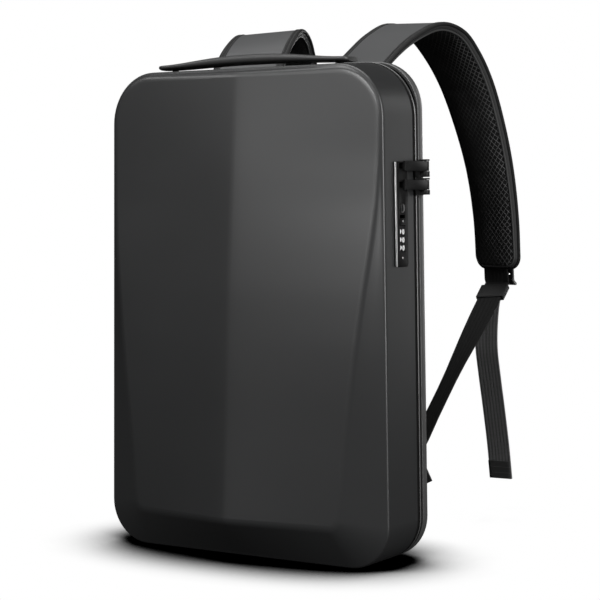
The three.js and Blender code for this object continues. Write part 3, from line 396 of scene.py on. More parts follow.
def rampBetween(nodes, links, factor, low, high, lowAt=0.0, highAt=1.0):
    ramp = nodes.new("ShaderNodeValToRGB")
    ramp.color_ramp.elements[0].position = lowAt
    ramp.color_ramp.elements[0].color = (*low, 1)
    ramp.color_ramp.elements[1].position = highAt
    ramp.color_ramp.elements[1].color = (*high, 1)
    links.new(factor, ramp.inputs["Fac"])
    return ramp.outputs["Color"]


def grey(value, warm=0.0):
    return (value * (1 + warm), value, value * (1 - warm))


# Moulded or coated surfaces with a fine grain on Object coordinates.
def grainedMaterial(
    name, tone, spread, roughness, roughSpread, fineness, bump, bumpDepth, patches=9.0, warm=0.0, **values,
):
    material, nodes, links, shader = newMaterial(name, grey(tone, warm), roughness, **values)
    coordinates = nodes.new("ShaderNodeTexCoord")
    grain = useGroup(nodes, grainGroup, Fineness=fineness, Patches=patches)
    links.new(coordinates.outputs["Object"], grain.inputs["Vector"])
    dark, light = grey(tone * (1 - spread), warm), grey(tone * (1 + spread), warm)
    color = rampBetween(
        nodes, links, grain.outputs["Tone"], dark, light, grainLook["darkAt"], grainLook["lightAt"],
    )
    links.new(color, shader.inputs["Base Color"])
    rough = nodes.new("ShaderNodeMapRange")
    rough.inputs["To Min"].default_value = roughness - roughSpread
    rough.inputs["To Max"].default_value = roughness + roughSpread
    links.new(grain.outputs["Tone"], rough.inputs["Value"])
    links.new(rough.outputs["Result"], shader.inputs["Roughness"])
    addBump(nodes, links, shader, grain.outputs["Height"], bump, bumpDepth)
    return material


# UV holds millimetres across and along the piece, divided by 100.
def pieceUv(nodes, links):
    uv = nodes.new("ShaderNodeUVMap")
    uv.uv_map = "UVMap"
    split = nodes.new("ShaderNodeSeparateXYZ")
    links.new(uv.outputs["UV"], split.inputs["Vector"])
    return [maths(nodes, links, "MULTIPLY", split.outputs[axis], 100.0) for axis in ("X", "Y")]


# Cloth with a weave and, where ribs gives their spacing, ridges along the piece. Its colour follows their
# height: painted shade in the hollows, painted light on the crowns.
def wovenMaterial(name, tone, lift, pitch, stretch, roughness, bumpDepth, ribs=None, **values):
    material, nodes, links, shader = newMaterial(name, grey(tone), roughness, **values)
    across, along = pieceUv(nodes, links)
    weave = useGroup(nodes, weaveGroup, Pitch=pitch, Stretch=stretch)
    links.new(across, weave.inputs["Across"])
    links.new(along, weave.inputs["Along"])
    height = weave.outputs["Height"]
    if ribs:
        share = weaveLook["ribShare"]
        turned = maths(nodes, links, "MULTIPLY", across, math.pi / ribs)
        wave = maths(nodes, links, "ABSOLUTE", maths(nodes, links, "SINE", turned))
        ridge = maths(nodes, links, "POWER", wave, weaveLook["ribRound"])
        summed = maths(nodes, links, "MULTIPLY_ADD", ridge, share, height)
        height = maths(nodes, links, "DIVIDE", summed, 1 + share)
    # Painted shade: the hollows darken to a share of the tone. Painted light: the crowns brighten by the
    # lift.
    dark, light = grey(tone * weaveLook["shade"]), grey(tone + lift)
    color = rampBetween(nodes, links, height, dark, light, weaveLook["darkAt"], weaveLook["lightAt"])
    links.new(color, shader.inputs["Base Color"])
    addBump(nodes, links, shader, height, weaveLook["bump"], bumpDepth)
    return material


# Spacer mesh. Where a span across the piece is given, its lines brighten from one end of it to the other:
# painted sheen.
def meshMaterial(name, tone, lineTone, pitch, lean, roughness, paintedSheenAcross=None, **values):
    material, nodes, links, shader = newMaterial(name, grey(tone), roughness, **values)
    across, along = pieceUv(nodes, links)
    diamond = useGroup(nodes, diamondGroup, Pitch=pitch, Lean=lean, Thin=meshLook["thin"])
    weave = useGroup(nodes, weaveGroup, Pitch=meshLook["clothPitch"], Stretch=1.0)
    for node in (diamond, weave):
        links.new(across, node.inputs["Across"])
        links.new(along, node.inputs["Along"])
    coordinates = nodes.new("ShaderNodeTexCoord")
    grain = useGroup(nodes, grainGroup, Fineness=meshLook["fineness"], Patches=meshLook["patches"])
    links.new(coordinates.outputs["Object"], grain.inputs["Vector"])
    wear = maths(nodes, links, "MULTIPLY_ADD", grain.outputs["Tone"], meshLook["wear"], meshLook["wearLow"])
    wearAndSheen = maths(nodes, links, "MULTIPLY", diamond.outputs["Lines"], wear)
    # Painted sheen: the lines grow brighter across the piece, on top of their random wear.
    if paintedSheenAcross:
        paintedSheenShare = nodes.new("ShaderNodeMapRange")
        paintedSheenShare.inputs["From Min"].default_value, paintedSheenShare.inputs["From Max"].default_value = paintedSheenAcross
        paintedSheenShare.inputs["To Min"].default_value = meshLook["faintest"]
        links.new(across, paintedSheenShare.inputs["Value"])
        wearAndSheen = maths(nodes, links, "MULTIPLY", wearAndSheen, paintedSheenShare.outputs["Result"])
    dark, light = grey(tone), grey(lineTone)
    color = rampBetween(nodes, links, wearAndSheen, dark, light, meshLook["darkAt"], meshLook["lightAt"])
    links.new(color, shader.inputs["Base Color"])
    fine = addBump(
        nodes, links, shader, weave.outputs["Height"], meshLook["clothBump"], meshLook["clothDeep"],
    )
    addBump(nodes, links, shader, diamond.outputs["Height"], meshLook["lineBump"], meshLook["lineDeep"], fine)
    return material


# tone and its spread, roughness and its spread, fineness of the grain, strength of the bump and its depth
# in metres
grainedLooks = {
    "shell": ("shellPlastic", 0.018, 0.06, 0.42, 0.03, 1500.0, 0.15, 0.00001),
    # rim is lighter than the shell; on the front shell's lip it is a painted highlight, and the rear shell's
    # bead takes it too
    "rim": ("rimToneAndLipHighlight", 0.06, 0.05, 0.34, 0.03, 1500.0, 0.1, 0.00001),
    "grip": ("gripRubber", 0.03, 0.08, 0.42, 0.04, 1200.0, 0.3, 0.00002),
    "lock": ("lockPlastic", 0.003, 0.1, 0.5, 0.05, 1500.0, 0.2, 0.00001),
    # seam is near-black and only fills the front shell's groove behind the lip: painted shade
    "seam": ("paintedGrooveShade", 0.006, 0.1, 0.6, 0.05, 1500.0, 0.2, 0.00001),
    "dial": ("dialPlastic", 0.004, 0.1, 0.4, 0.05, 1500.0, 0.15, 0.00001),
    "pull": ("pullEnamel", 0.006, 0.1, 0.5, 0.05, 1300.0, 0.15, 0.00001),
    "buckle": ("bucklePlastic", 0.003, 0.1, 0.24, 0.04, 1300.0, 0.1, 0.00001),
    "teeth": ("zipTeeth", 0.006, 0.1, 0.35, 0.05, 1300.0, 0.1, 0.00001),
    "trim": ("trimSteel", 0.55, 0.08, 0.3, 0.06, 1200.0, 0.15, 0.00001),
    "core": ("coreSteel", 0.09, 0.08, 0.28, 0.05, 1200.0, 0.1, 0.00001),
    "ink": ("dialInk", 0.97, 0.03, 0.5, 0.05, 1200.0, 0.05, 0.00001),
    "strap": ("strapSkin", 0.045, 0.06, 0.5, 0.05, 1100.0, 0.35, 0.00003),
    "piping": ("strapPiping", 0.011, 0.12, 0.7, 0.05, 800.0, 0.5, 0.00006),
    "thread": ("threadGrey", 0.07, 0.15, 0.6, 0.05, 2500.0, 0.3, 0.00002),
    "cord": ("pipingCord", 0.035, 0.12, 0.6, 0.05, 800.0, 0.4, 0.00005),
    "sleeve": ("sleeveCloth", 0.011, 0.08, 0.6, 0.05, 1000.0, 0.5, 0.00005),
}
# what some of them have besides
grainedExtras = {
    "shell": {"warm": -0.02, "coat": 0.15, "coatRoughness": 0.2},
    "lock": {"specular": 0.15},
    "seam": {"specular": 0.2},
    "dial": {"specular": 0.2},
    "pull": {"specular": 0.22},
    "buckle": {"coat": 0.3, "coatRoughness": 0.12},
    "trim": {"metallic": 1.0},
    "core": {"metallic": 1.0},
    "strap": {"patches": 14.0, "warm": -0.02, "sheen": 0.04},
    "piping": {"specular": 0.2},
    "sleeve": {"specular": 0.25},
}
# tone, painted light added on the crowns, thread pitch in millimetres, stretch along, roughness, depth of the
# bump in metres
wovenLooks = {
    "webbing": ("webbing", 0.003, 0.008, 1.1, 1.3, 0.75, 0.0004, {"ribs": 4.3, "specular": 0.2}),
    "tail": ("tailWebbing", 0.012, 0.12, 1.1, 1.3, 0.7, 0.0005, {"ribs": 3.7, "sheen": 0.05}),
    "hem": ("hemWebbing", 0.01, 0.03, 0.9, 1.2, 0.75, 0.0002, {"sheen": 0.03}),
    "tape": ("seamTape", 0.005, 0.005, 0.8, 1.0, 0.75, 0.0001, {}),
    "cloth": ("rearCloth", 0.015, 0.02, 0.9, 1.0, 0.75, 0.00012, {"sheen": 0.04}),
    "padEdge": ("padEdge", 0.008, 0.01, 0.7, 1.0, 0.7, 0.0001, {"sheen": 0.04}),
}
# tone, tone of the lines, their pitch in millimetres, their lean, roughness
meshLooks = {
    "mesh": ("padMesh", 0.004, 0.08, 5.4, 0.8, 0.72, {"sheen": 0.03}),
    # the strap pad's lines brighten towards one edge: painted sheen
    "padMesh": ("strapPadMesh", 0.003, 0.2, 5.4, 0.8, 0.72, {"paintedSheenAcross": (-26.0, 26.0), "specular": 0.3}),
}
finishes = {key: grainedMaterial(*look, **grainedExtras.get(key, {})) for key, look in grainedLooks.items()}
finishes.update({key: wovenMaterial(*look[:-1], **look[-1]) for key, look in wovenLooks.items()})
finishes.update({key: meshMaterial(*look[:-1], **look[-1]) for key, look in meshLooks.items()})


def finish(thing, *names):
    thing.data.materials.clear()
    for name in names:
        thing.data.materials.append(finishes[name])
    return thing


# A piece rides on its body and stands for CAD nodes, which are hidden.
def settle(thing, body, slot, *nodes):
    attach(thing, body)
    if nodes:
        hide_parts(*nodes)
    return thing


print("backpack: front shell")
shell = {
    "height": 440, "halfWidth": 148.2, "narrowing": 6.4, "draft": 3.9, "frontEdge": -29, "rim": 28.2,
    "edgeBack": 5, "edgeRadius": 3, "edgeTurn": 75, "wall": 3, "facetBack": 3.4,
    "topRadius": 46, "bottomRadius": 40, "ridgeDepth": 32.3, "panelCorner": 10, "creaseSoft": 4,
    "ridgeSoft": 4, "rowSoft": 0.02,
    "beadWidth": 5.5, "beadProud": 0.9, "lipWidth": 2.1, "grooveDeep": 0.5,
    "cornerSteps": 16, "sideRows": 32, "sideLow": 56, "sideHigh": 386, "halfColumns": 12, "rollSteps": 5,
}
# up is a share of the height, half of the half width there, side and ridge of the ridge's depth
panelRows = {
    "up": [0.082, 0.18, 0.27, 0.36, 0.45, 0.55, 0.64, 0.73, 0.82, 1.0],
    "half": [0.725, 0.752, 0.781, 0.816, 0.852, 0.893, 0.934, 0.962, 0.968, 0.97],
    "side": [0.5, 0.475, 0.452, 0.43, 0.385, 0.29, 0.165, 0.035, -0.03, -0.05],
    "ridge": [1.0, 0.912, 0.835, 0.775, 0.72, 0.655, 0.57, 0.48, 0.39, 0.185],
}
edgeStart = shell["frontEdge"] + shell["edgeBack"]
columnShares = [(k / shell["halfColumns"]) ** 1.5 for k in range(shell["halfColumns"] + 1)]
sideHeights = list(np.linspace(shell["sideLow"], shell["sideHigh"], shell["sideRows"]))


def spreadAt(y):
    return shell["draft"] * (min(y, shell["rim"]) - shell["frontEdge"]) / (shell["rim"] - shell["frontEdge"])


def narrowAt(z):
    return 1 - (shell["narrowing"] / shell["halfWidth"]) * (z / shell["height"])


def cornerTurns():
    return [math.pi / 2 * i / shell["cornerSteps"] for i in range(shell["cornerSteps"] + 1)]


# Points from the base's middle up the right and over the top to its middle, and back down the left.
def closeRing(right):
    left = [np.array([-p[0], p[1], p[2]]) for p in right[1:-1]][::-1]
    return right + left


# The bag's outline at y, drawn in by the inset.
def outline(y, inset, upperRadius=None):
    upper = (shell["topRadius"] if upperRadius is None else upperRadius) + spreadAt(y) - inset
    half = shell["halfWidth"] + spreadAt(y) - inset
    top = shell["height"] + spreadAt(y) - inset
    base = max(inset, 0)
    low, high = max(shell["bottomRadius"] - inset, 4), max(upper, 4)
    right = []

    def put(x, z):
        right.append(np.array([x * narrowAt(z), y, z]))

    for share in columnShares[:-1]:
        put((half - low) * share, base)
    for t in cornerTurns():
        put(half - low + low * math.sin(t), base + low - low * math.cos(t))
    for z in sideHeights:
        put(half, z)
    for t in cornerTurns():
        put(half - high + high * math.cos(t), top - high + high * math.sin(t))
    for share in columnShares[:-1][::-1]:
        put((half - high) * share, top)
    return closeRing(right)


def rowValue(key, z):
    up = min(max(z / shell["height"], panelRows["up"][0]), 1)
    spread = shell["rowSoft"]
    ups = np.clip([up - spread, up - spread / 2, up, up + spread / 2, up + spread], panelRows["up"][0], 1)
    return float(np.dot(np.interp(ups, panelRows["up"], panelRows[key]), [0.1, 0.2, 0.4, 0.2, 0.1]))


def panelHalf(z):
    return rowValue("half", z) * shell["halfWidth"] * narrowAt(z)


def panelPoint(x, z, back=0.0):
    soft = shell["ridgeSoft"]
    t = min((math.hypot(x, soft) - soft * 0.55) / panelHalf(z), 1.2)
    depth = lerp(rowValue("ridge", z), rowValue("side", z), t) * shell["ridgeDepth"]
    return np.array([x, shell["frontEdge"] - depth + back, z])


def panelRing(inset, back=0.0):
    low = panelRows["up"][0] * shell["height"] + inset
    half = panelHalf(low) - inset
    corner = max(shell["panelCorner"] - inset, 3)
    right = [panelPoint((half - corner) * share, low, back) for share in columnShares[:-1]]
    for t in cornerTurns():
        right.append(panelPoint(half - corner + corner * math.sin(t), low + corner * (1 - math.cos(t)), back))
    for z in sideHeights:
        right.append(panelPoint(panelHalf(z) - inset, z, back))
    topInset = shell["halfWidth"] * (1 - panelRows["half"][-1])
    guide = outline(shell["frontEdge"], topInset + inset)
    upper = shell["cornerSteps"] + 1 + shell["halfColumns"]
    for p in guide[len(right):len(right) + upper]:
        right.append(panelPoint(p[0], p[2], back))
    return closeRing(right)


# Interior points and faces of the panel, whose border is the ring that starts at index first.
def fillPanel(points, faces, ring, first, back, flip):
    n = shell["halfColumns"]
    count = len(ring)
    rows = count // 2 + 1 - 2 * n
    topMiddle = 2 * n + rows - 1
    index = {}
    for r in range(rows):
        for c in range(-n, n + 1):
            if c == n:
                index[r, c] = first + n + r
            elif c == -n:
                index[r, c] = first + (count - n - r)
            elif r == 0:
                index[r, c] = first + c % count
            elif r == rows - 1:
                index[r, c] = first + topMiddle - c
            else:
                end = ring[n + r]
                share = math.copysign(columnShares[abs(c)], c)
                index[r, c] = len(points)
                points.append(panelPoint(end[0] * share, end[2], back))
    for r in range(rows - 1):
        for c in range(-n, n):
            quad = (index[r, c], index[r, c + 1], index[r + 1, c + 1], index[r + 1, c])
            faces.append(quad[::-1] if flip else quad)


# The hollow front: an inner and an outer skin from the panel round the edge to the rim, closed by the panels.
def frontShellMesh():
    rim, bead, proud = shell["rim"], shell["beadWidth"], shell["beadProud"]
    grooveFrom, grooveTo = rim - bead, rim - shell["lipWidth"]
    profile = [
        (rim, 0.1), (rim - 0.25, -proud * 0.7), (rim - 0.7, -proud),
        (grooveTo + 0.5, -proud), (grooveTo + 0.1, -proud * 0.6),
        (grooveTo, shell["grooveDeep"]), (grooveFrom + 0.3, shell["grooveDeep"]), (grooveFrom, 0),
        (grooveFrom - 2, 0), (0, 0), (edgeStart + 2, 0),
    ]
    lipRows, grooveRows = range(0, 4), range(4, 7)
    outer = [outline(y, inset) for y, inset in profile]
    radius = shell["edgeRadius"]
    for i in range(shell["rollSteps"] + 1):
        t = math.radians(shell["edgeTurn"]) * i / shell["rollSteps"]
        ring = outline(edgeStart, radius * (1 - math.cos(t)))
        outer.append([p - np.array([0, radius * math.sin(t), 0]) for p in ring])
    sharpRing = panelRing(0)
    softRing = panelRing(shell["creaseSoft"])
    edge = outer[-1]
    before = []
    for e, q in zip(edge, sharpRing):
        gap = np.linalg.norm(e - q)
        before.append(q + (e - q) / gap * min(shell["creaseSoft"], gap * 0.45))
    outer.append([lerp(np.array(e), b, 0.5) for e, b in zip(edge, before)])
    for t in (0, 0.25, 0.5, 0.75, 1):
        turns = zip(before, sharpRing, softRing)
        outer.append([(1 - t) ** 2 * a + 2 * t * (1 - t) * q + t * t * b for a, q, b in turns])
    wall = shell["wall"]
    inner = [outline(rim, wall), outline(0, wall), outline(edgeStart, wall)]
    inner.append([p - np.array([0, 0.3, 0]) for p in outline(edgeStart, wall + 1)])
    inner.append(panelRing(2, shell["facetBack"]))
    rings = inner[::-1] + outer
    count = len(rings[0])
    points = [p for ring in rings for p in ring]
    faces = []
    for r in range(len(rings) - 1):
        for i in range(count):
            j = (i + 1) % count
            faces.append((r * count + i, r * count + j, (r + 1) * count + j, (r + 1) * count + i))
    fillPanel(points, faces, rings[0], 0, shell["facetBack"], True)
    fillPanel(points, faces, rings[-1], (len(rings) - 1) * count, 0.0, False)
    body = finish(addMesh("frontShell", points, faces), "shell", "seam", "rim")
    # The lip takes the lighter rim finish as a painted highlight, and the groove behind it takes the
    # near-black seam finish as painted shade.
    for polygon in body.data.polygons:
        row = min(polygon.vertices) // count - len(inner)
        polygon.material_index = 2 if row in lipRows else 1 if row in grooveRows else 0
    return faceOutwards(body)


lock = {
    "up": 309.5, "back": 0.25, "width": 21.5, "height": 91, "seat": 1.3, "corner": 2.5, "gap": 0.3,
    "faceBack": 1.2, "housingHalf": 8, "housingLow": 2, "housingHigh": 0.5, "depth": 12, "cutterReach": 6,
    "dialRadius": 6.4, "dialSides": 20, "dialPitch": 7.05, "dialUp": -22.5, "wheelX": -4.4,
    "figureTall": 6.3, "figureBold": 0.22, "arrowTall": 4.2,
}


# The lock's own frame: X out of the wall, Y along it and Z up.
def lockMatrix():
    tilt = math.atan(shell["draft"] / (shell["rim"] - shell["frontEdge"]))
    out = unit(np.array([math.cos(tilt), -math.sin(tilt), shell["narrowing"] / shell["height"]]))
    up = np.array([-shell["narrowing"] / shell["height"], 0, 1])
    up = unit(up - out * np.dot(up, out))
    along = np.cross(up, out)
    wallX = (shell["halfWidth"] + spreadAt(lock["back"])) * narrowAt(lock["up"])
    turn = Matrix((out, along, up)).transposed().to_4x4()
    return Matrix.Translation(Vector((wallX, lock["back"], lock["up"])) / 1000) @ turn


lockPlace = lockMatrix()


# A block from x0 to x1 out of the wall with its corners rounded in the wall's plane.
def roundedBlock(name, x0, x1, y0, y1, z0, z1, radius, steps=6):
    shape = []
    left, right, low, high = y0 + radius, y1 - radius, z0 + radius, z1 - radius
    for first, (cy, cz) in enumerate(((right, high), (left, high), (left, low), (right, low))):
        for i in range(steps + 1):
            t = math.pi / 2 * (first + i / steps)
            shape.append((cy + radius * math.cos(t), cz + radius * math.sin(t)))
    block = skin(name, [[np.array([x, y, z]) for y, z in shape] for x in (x0, x1)])
    faceOutwards(block)
    block.data.transform(lockPlace)
    return block


def cutAway(thing, cutter):
    cut = thing.modifiers.new("cut", "BOOLEAN")
    cut.operation = "DIFFERENCE"
    cut.solver = "EXACT"
    cut.object = cutter
    applyModifiers(thing)
    bpy.data.objects.remove(cutter)
    return thing


def buildFrontShell():
    body = frontShellMesh()
    gap = lock["gap"]
    half, side = lock["height"] / 2 + gap, lock["width"] / 2 + gap
    corner, out = lock["corner"] + gap, lock["cutterReach"]
    body = cutAway(body, roundedBlock("seatCutter", -lock["seat"], out, -side, side, -half, half, corner))
    wide, middle = lock["housingHalf"] + gap, lock["faceBack"]
    low, high = -half + lock["housingLow"], half - lock["housingHigh"]
    way = roundedBlock("wayCutter", -lock["depth"], 1, middle - wide, middle + wide, low, high, 0.5)
    body = cutAway(body, way)
    body.data.shade_smooth()
    body.data.set_sharp_from_angle(angle=math.radians(32))
    weighted = body.modifiers.new("faceWeights", "WEIGHTED_NORMAL")
    weighted.keep_sharp = True
    weighted.weight = 80
    applyModifiers(body)
    settle(body, "bag", "shell", "front_shell")


buildFrontShell()

print("backpack: rear shell and zip")
zipper = {
    "width": 3.5, "sunk": 2.2, "thick": 4, "gap": 0.3,
    "toothPitch": 1.5, "toothWide": 2.5, "toothTall": 0.95, "toothProud": 0.9,
}
# bead holds how far back and how far in; cloth is shares of the depth and how far in
rear = {
    "depth": 18, "wall": 2.2, "topRadius": 38, "clothSteps": 14,
    "bead": [(0, 0.1), (0.25, -0.6), (0.8, -0.9), (7.8, -0.9), (8.4, -0.75), (8.8, -0.3)],
    "clothShares": [0.5, 0.55, 0.62, 0.7, 0.78, 0.85, 0.91, 0.96, 1.0],
    "clothInsets": [0.2, 0.1, 0.6, 1.5, 2.8, 4.6, 6.8, 9.4, 12.5],
}
rearRim = shell["rim"] + zipper["width"]
rearBack = rearRim + rear["depth"]


def buildRearShell():
    bead, cloth = rear["bead"], []
    for i in range(rear["clothSteps"] + 1):
        share = lerp(rear["clothShares"][0], 1, i / rear["clothSteps"])
        inset = float(np.interp(share, rear["clothShares"], rear["clothInsets"]))
        cloth.append((share * rear["depth"], inset))
    outer = [outline(rearRim + back, inset, rear["topRadius"]) for back, inset in bead + cloth]
    wall = rear["wall"]
    inner = [outline(rearRim, wall, rear["topRadius"])]
    for back, inset in cloth[::3][1:-1] + [cloth[-1]]:
        inner.append(outline(rearRim + back - wall, inset + wall, rear["topRadius"]))
    body = finish(skin("rearShell", inner[::-1] + outer), "rim", "cloth", "tape")
    count = len(outer[0])
    uvLayer = body.data.uv_layers.new(name="UVMap")
    guide = outer[len(bead) + 2]
    lengths = runLengths(guide + guide[:1])
    backs = [0] * len(inner) + list(runLengths([ring[0] for ring in outer]))
    for polygon in body.data.polygons:
        row = min(polygon.vertices) // count
        polygon.material_index = 0 if len(inner) <= row < len(inner) + len(bead) - 1 else 1
        if row == len(inner) - 1:
            polygon.material_index = 2
        for loopIndex in polygon.loop_indices:
            vertex = body.data.loops[loopIndex].vertex_index
            spot = vertex % count
            if len(polygon.vertices) > 4:
                place = body.data.vertices[vertex].co * 10
                uvLayer.data[loopIndex].uv = (place.x, place.z)
            else:
                wrapped = spot == 0 and any(v % count == count - 1 for v in polygon.vertices)
                across = lengths[-1] if wrapped else lengths[spot]
                uvLayer.data[loopIndex].uv = (across / 100, backs[vertex // count] / 100)
    body.data.set_sharp_from_angle(angle=math.radians(50))
    settle(body, "bag", "lining", "rear_shell")


buildRearShell()


# A Geometry Nodes tree that sets one small solid on each point, turned by the point's own two directions.
def blocksOnPoints(name, material, rounded):
    tree = bpy.data.node_groups.new(name, "GeometryNodeTree")
    tree.interface.new_socket("Geometry", in_out="INPUT", socket_type="NodeSocketGeometry")
    size = tree.interface.new_socket("Block Size", in_out="INPUT", socket_type="NodeSocketVector")
    size.default_value = (0.001, 0.001, 0.001)
    tree.interface.new_socket("Tilt", in_out="INPUT", socket_type="NodeSocketFloat")
    tree.interface.new_socket("Geometry", in_out="OUTPUT", socket_type="NodeSocketGeometry")
    nodes, links = tree.nodes, tree.links
    start, end = nodes.new("NodeGroupInput"), nodes.new("NodeGroupOutput")
    if rounded:
        block = nodes.new("GeometryNodeMeshUVSphere")
        block.inputs["Segments"].default_value = 6
        block.inputs["Rings"].default_value = 5
        block.inputs["Radius"].default_value = 0.5
    else:
        block = nodes.new("GeometryNodeMeshCube")
    directions = {}
    for label in ("ahead", "proud"):
        directions[label] = nodes.new("GeometryNodeInputNamedAttribute")
        directions[label].data_type = "FLOAT_VECTOR"
        directions[label].inputs["Name"].default_value = label
    align = nodes.new("FunctionNodeAlignRotationToVector")
    align.axis = "Y"
    second = nodes.new("FunctionNodeAlignRotationToVector")
    second.axis = "Z"
    second.pivot_axis = "Y"
    instances = nodes.new("GeometryNodeInstanceOnPoints")
    spin = nodes.new("GeometryNodeRotateInstances")
    combine = nodes.new("ShaderNodeCombineXYZ")
    index = nodes.new("GeometryNodeInputIndex")
    odd = maths(nodes, links, "FLOORED_MODULO", index.outputs[0], 2.0)
    sign = maths(nodes, links, "MULTIPLY_ADD", odd, 2.0, -1.0)
    realize = nodes.new("GeometryNodeRealizeInstances")
    coat = nodes.new("GeometryNodeSetMaterial")
    coat.inputs["Material"].default_value = material
    links.new(directions["ahead"].outputs[0], align.inputs["Vector"])
    links.new(align.outputs["Rotation"], second.inputs["Rotation"])
    links.new(directions["proud"].outputs[0], second.inputs["Vector"])
    links.new(start.outputs["Geometry"], instances.inputs["Points"])
    links.new(block.outputs["Mesh"], instances.inputs["Instance"])
    links.new(second.outputs["Rotation"], instances.inputs["Rotation"])
    if rounded:
        links.new(start.outputs["Block Size"], instances.inputs["Scale"])
    else:
        links.new(start.outputs["Block Size"], block.inputs["Size"])
    links.new(maths(nodes, links, "MULTIPLY", start.outputs["Tilt"], sign), combine.inputs["Z"])
    links.new(instances.outputs["Instances"], spin.inputs["Instances"])
    links.new(combine.outputs["Vector"], spin.inputs["Rotation"])
    links.new(spin.outputs["Instances"], realize.inputs["Geometry"])
    links.new(realize.outputs["Geometry"], coat.inputs["Geometry"])
    links.new(coat.outputs["Geometry"], end.inputs["Geometry"])
    return tree


def setInput(modifier, label, value):
    for item in modifier.node_group.interface.items_tree:
        if item.item_type == "SOCKET" and item.in_out == "INPUT" and item.name == label:
            modifier[item.identifier] = value


# Even steps along a closed or open run of points.
def evenSteps(points, pitch, closed):
    points = np.array(points, dtype=float)
    if closed:
        points = np.vstack([points, points[:1]])
    reach = runLengths(points)
    count = max(int(reach[-1] / pitch), 2)
    steps = np.linspace(0, reach[-1], count + 1)
    if closed:
        steps = steps[:-1]
    return np.stack([np.interp(steps, reach, points[:, axis]) for axis in range(3)], axis=1)


# Small solids at the points: size is across, along and proud of the surface.
def blocksOn(name, points, ahead, proud, material, size, tilt=0.0, rounded=False):
    mesh = bpy.data.meshes.new(name)
    mesh.from_pydata([tuple(float(v) / 1000 for v in p) for p in points], [], [])
    for label, values in (("ahead", ahead), ("proud", proud)):
        directions = mesh.attributes.new(label, "FLOAT_VECTOR", "POINT")
        directions.data.foreach_set("vector", np.array(values, dtype=float).ravel())
    thing = bpy.data.objects.new(name, mesh)
    scene.collection.objects.link(thing)
    modifier = thing.modifiers.new("blocks", "NODES")
    modifier.node_group = blocksOnPoints(name + "Tree", finishes[material], rounded)
    setInput(modifier, "Block Size", tuple(v / 1000 for v in size))
    setInput(modifier, "Tilt", math.radians(tilt))
    applyModifiers(thing)
    if rounded:
        thing.data.shade_smooth()
    return thing


def headings(points, closed):
    ahead = np.roll(points, -1, axis=0) - np.roll(points, 1, axis=0)
    if not closed:
        ahead[0] = points[1] - points[0]
        ahead[-1] = points[-1] - points[-2]
    return ahead / np.linalg.norm(ahead, axis=1)[:, None]


def buildZip():
    low, high = shell["rim"] + zipper["gap"], rearRim - zipper["gap"]
    sunk, thick = zipper["sunk"], zipper["thick"]
    outer = [outline(low, sunk), outline(high, sunk)]
    inner = [outline(low, sunk + thick), outline(high, sunk + thick)]
    rings = [inner[0], outer[0], outer[1], inner[1], inner[0]]
    tape = skin("zipTape", rings, capped=False)
    faceOutwards(tape, sharp=30)
    uvLayer = tape.data.uv_layers.new(name="UVMap")
    for loop in tape.data.loops:
        place = tape.data.vertices[loop.vertex_index].co * 10
        uvLayer.data[loop.index].uv = (place.x + place.z, place.y)
    settle(finish(tape, "tape"), "bag", "zip", "zip_chain")
    middle = outline(shell["rim"] + zipper["width"] / 2, sunk - zipper["toothProud"] / 2)
    middle = evenSteps(middle, zipper["toothPitch"], True)
    ahead = headings(middle, True)
    proud = np.cross(ahead, [0, 1, 0])
    size = (zipper["toothWide"], zipper["toothTall"], zipper["toothProud"])
    settle(blocksOn("zipTeeth", middle, ahead, proud, "teeth", size), "bag", "zip")


buildZip()

print("backpack: handle")
grip = {
    "half": 100.5, "deep": 30, "thick": 8.6, "endThick": 4.2, "back": -2, "gap": 1, "arch": 1.2,
    "square": 0.62, "soften": 0.12, "endDraw": 1.15, "endDrop": 0.6, "seatShare": 0.62, "seatGap": 0.4,
    "postX": 88, "holeRadius": 3.3, "sinkRadius": 5.8, "cutterHalf": 20, "sides": 28, "steps": 60,
}
gripRows = {
    "along": [0, 0.12, 0.34, 0.58, 0.78, 0.94, 0.985, 1.0],
    "thick": [1, 1, 0.86, 0.5, 0.12, 0.02, 0, 0],
    "deep": [1, 1, 1, 1, 1, 0.96, 0.8, 0.62],
}


def topAt(y):
    return shell["height"] + spreadAt(y)


def smoothRow(table, column, key, value, spread):
    spots = np.clip(np.array([-1, -0.5, 0, 0.5, 1]) * spread + value, table[column][0], table[column][-1])
    return float(np.dot(np.interp(spots, table[column], table[key]), [0.15, 0.22, 0.26, 0.22, 0.15]))


def buildHandle():
    top = topAt(grip["back"] + grip["deep"] / 2)
    under = top + grip["gap"]
    rows = []
    for along in np.sin(np.linspace(-math.pi / 2, math.pi / 2, grip["steps"] + 1)):
        away = abs(float(along))
        thick = smoothRow(gripRows, "along", "thick", away, grip["soften"])
        deep = float(np.interp(away, gripRows["along"], gripRows["deep"]))
        deep = (1 - (1 - deep) * grip["endDraw"]) * grip["deep"]
        tall = lerp(grip["endThick"], grip["thick"], thick)
        base = under + grip["arch"] * thick - grip["gap"] * grip["endDrop"] * (1 - thick)
        row = []
        for i in range(grip["sides"]):
            t = 2 * math.pi * (i + 0.5) / grip["sides"]
            across, rise = (math.copysign(abs(v) ** grip["square"], v) for v in (math.cos(t), math.sin(t)))
            spot = [along * grip["half"], grip["back"] + across * deep / 2, base + tall * (1 + rise) / 2]
            row.append(np.array(spot))
        rows.append(row)
    body = faceOutwards(skin("handleGrip", rows, sharp=60))
    seat = top + grip["gap"] * grip["seatGap"] + grip["endThick"] * grip["seatShare"]
    long = grip["cutterHalf"]
    cutters = [(grip["holeRadius"], under - long, under + long), (grip["sinkRadius"], seat, seat + long)]
    for x in (-grip["postX"], grip["postX"]):
        for radius, low, high in cutters:
            body = cutAway(body, upright("handleCutter", radius, x, grip["back"], low, high))
    faceOutwards(body, sharp=40)
    settle(finish(body, "grip"), "bag", "grip", "top_handle")


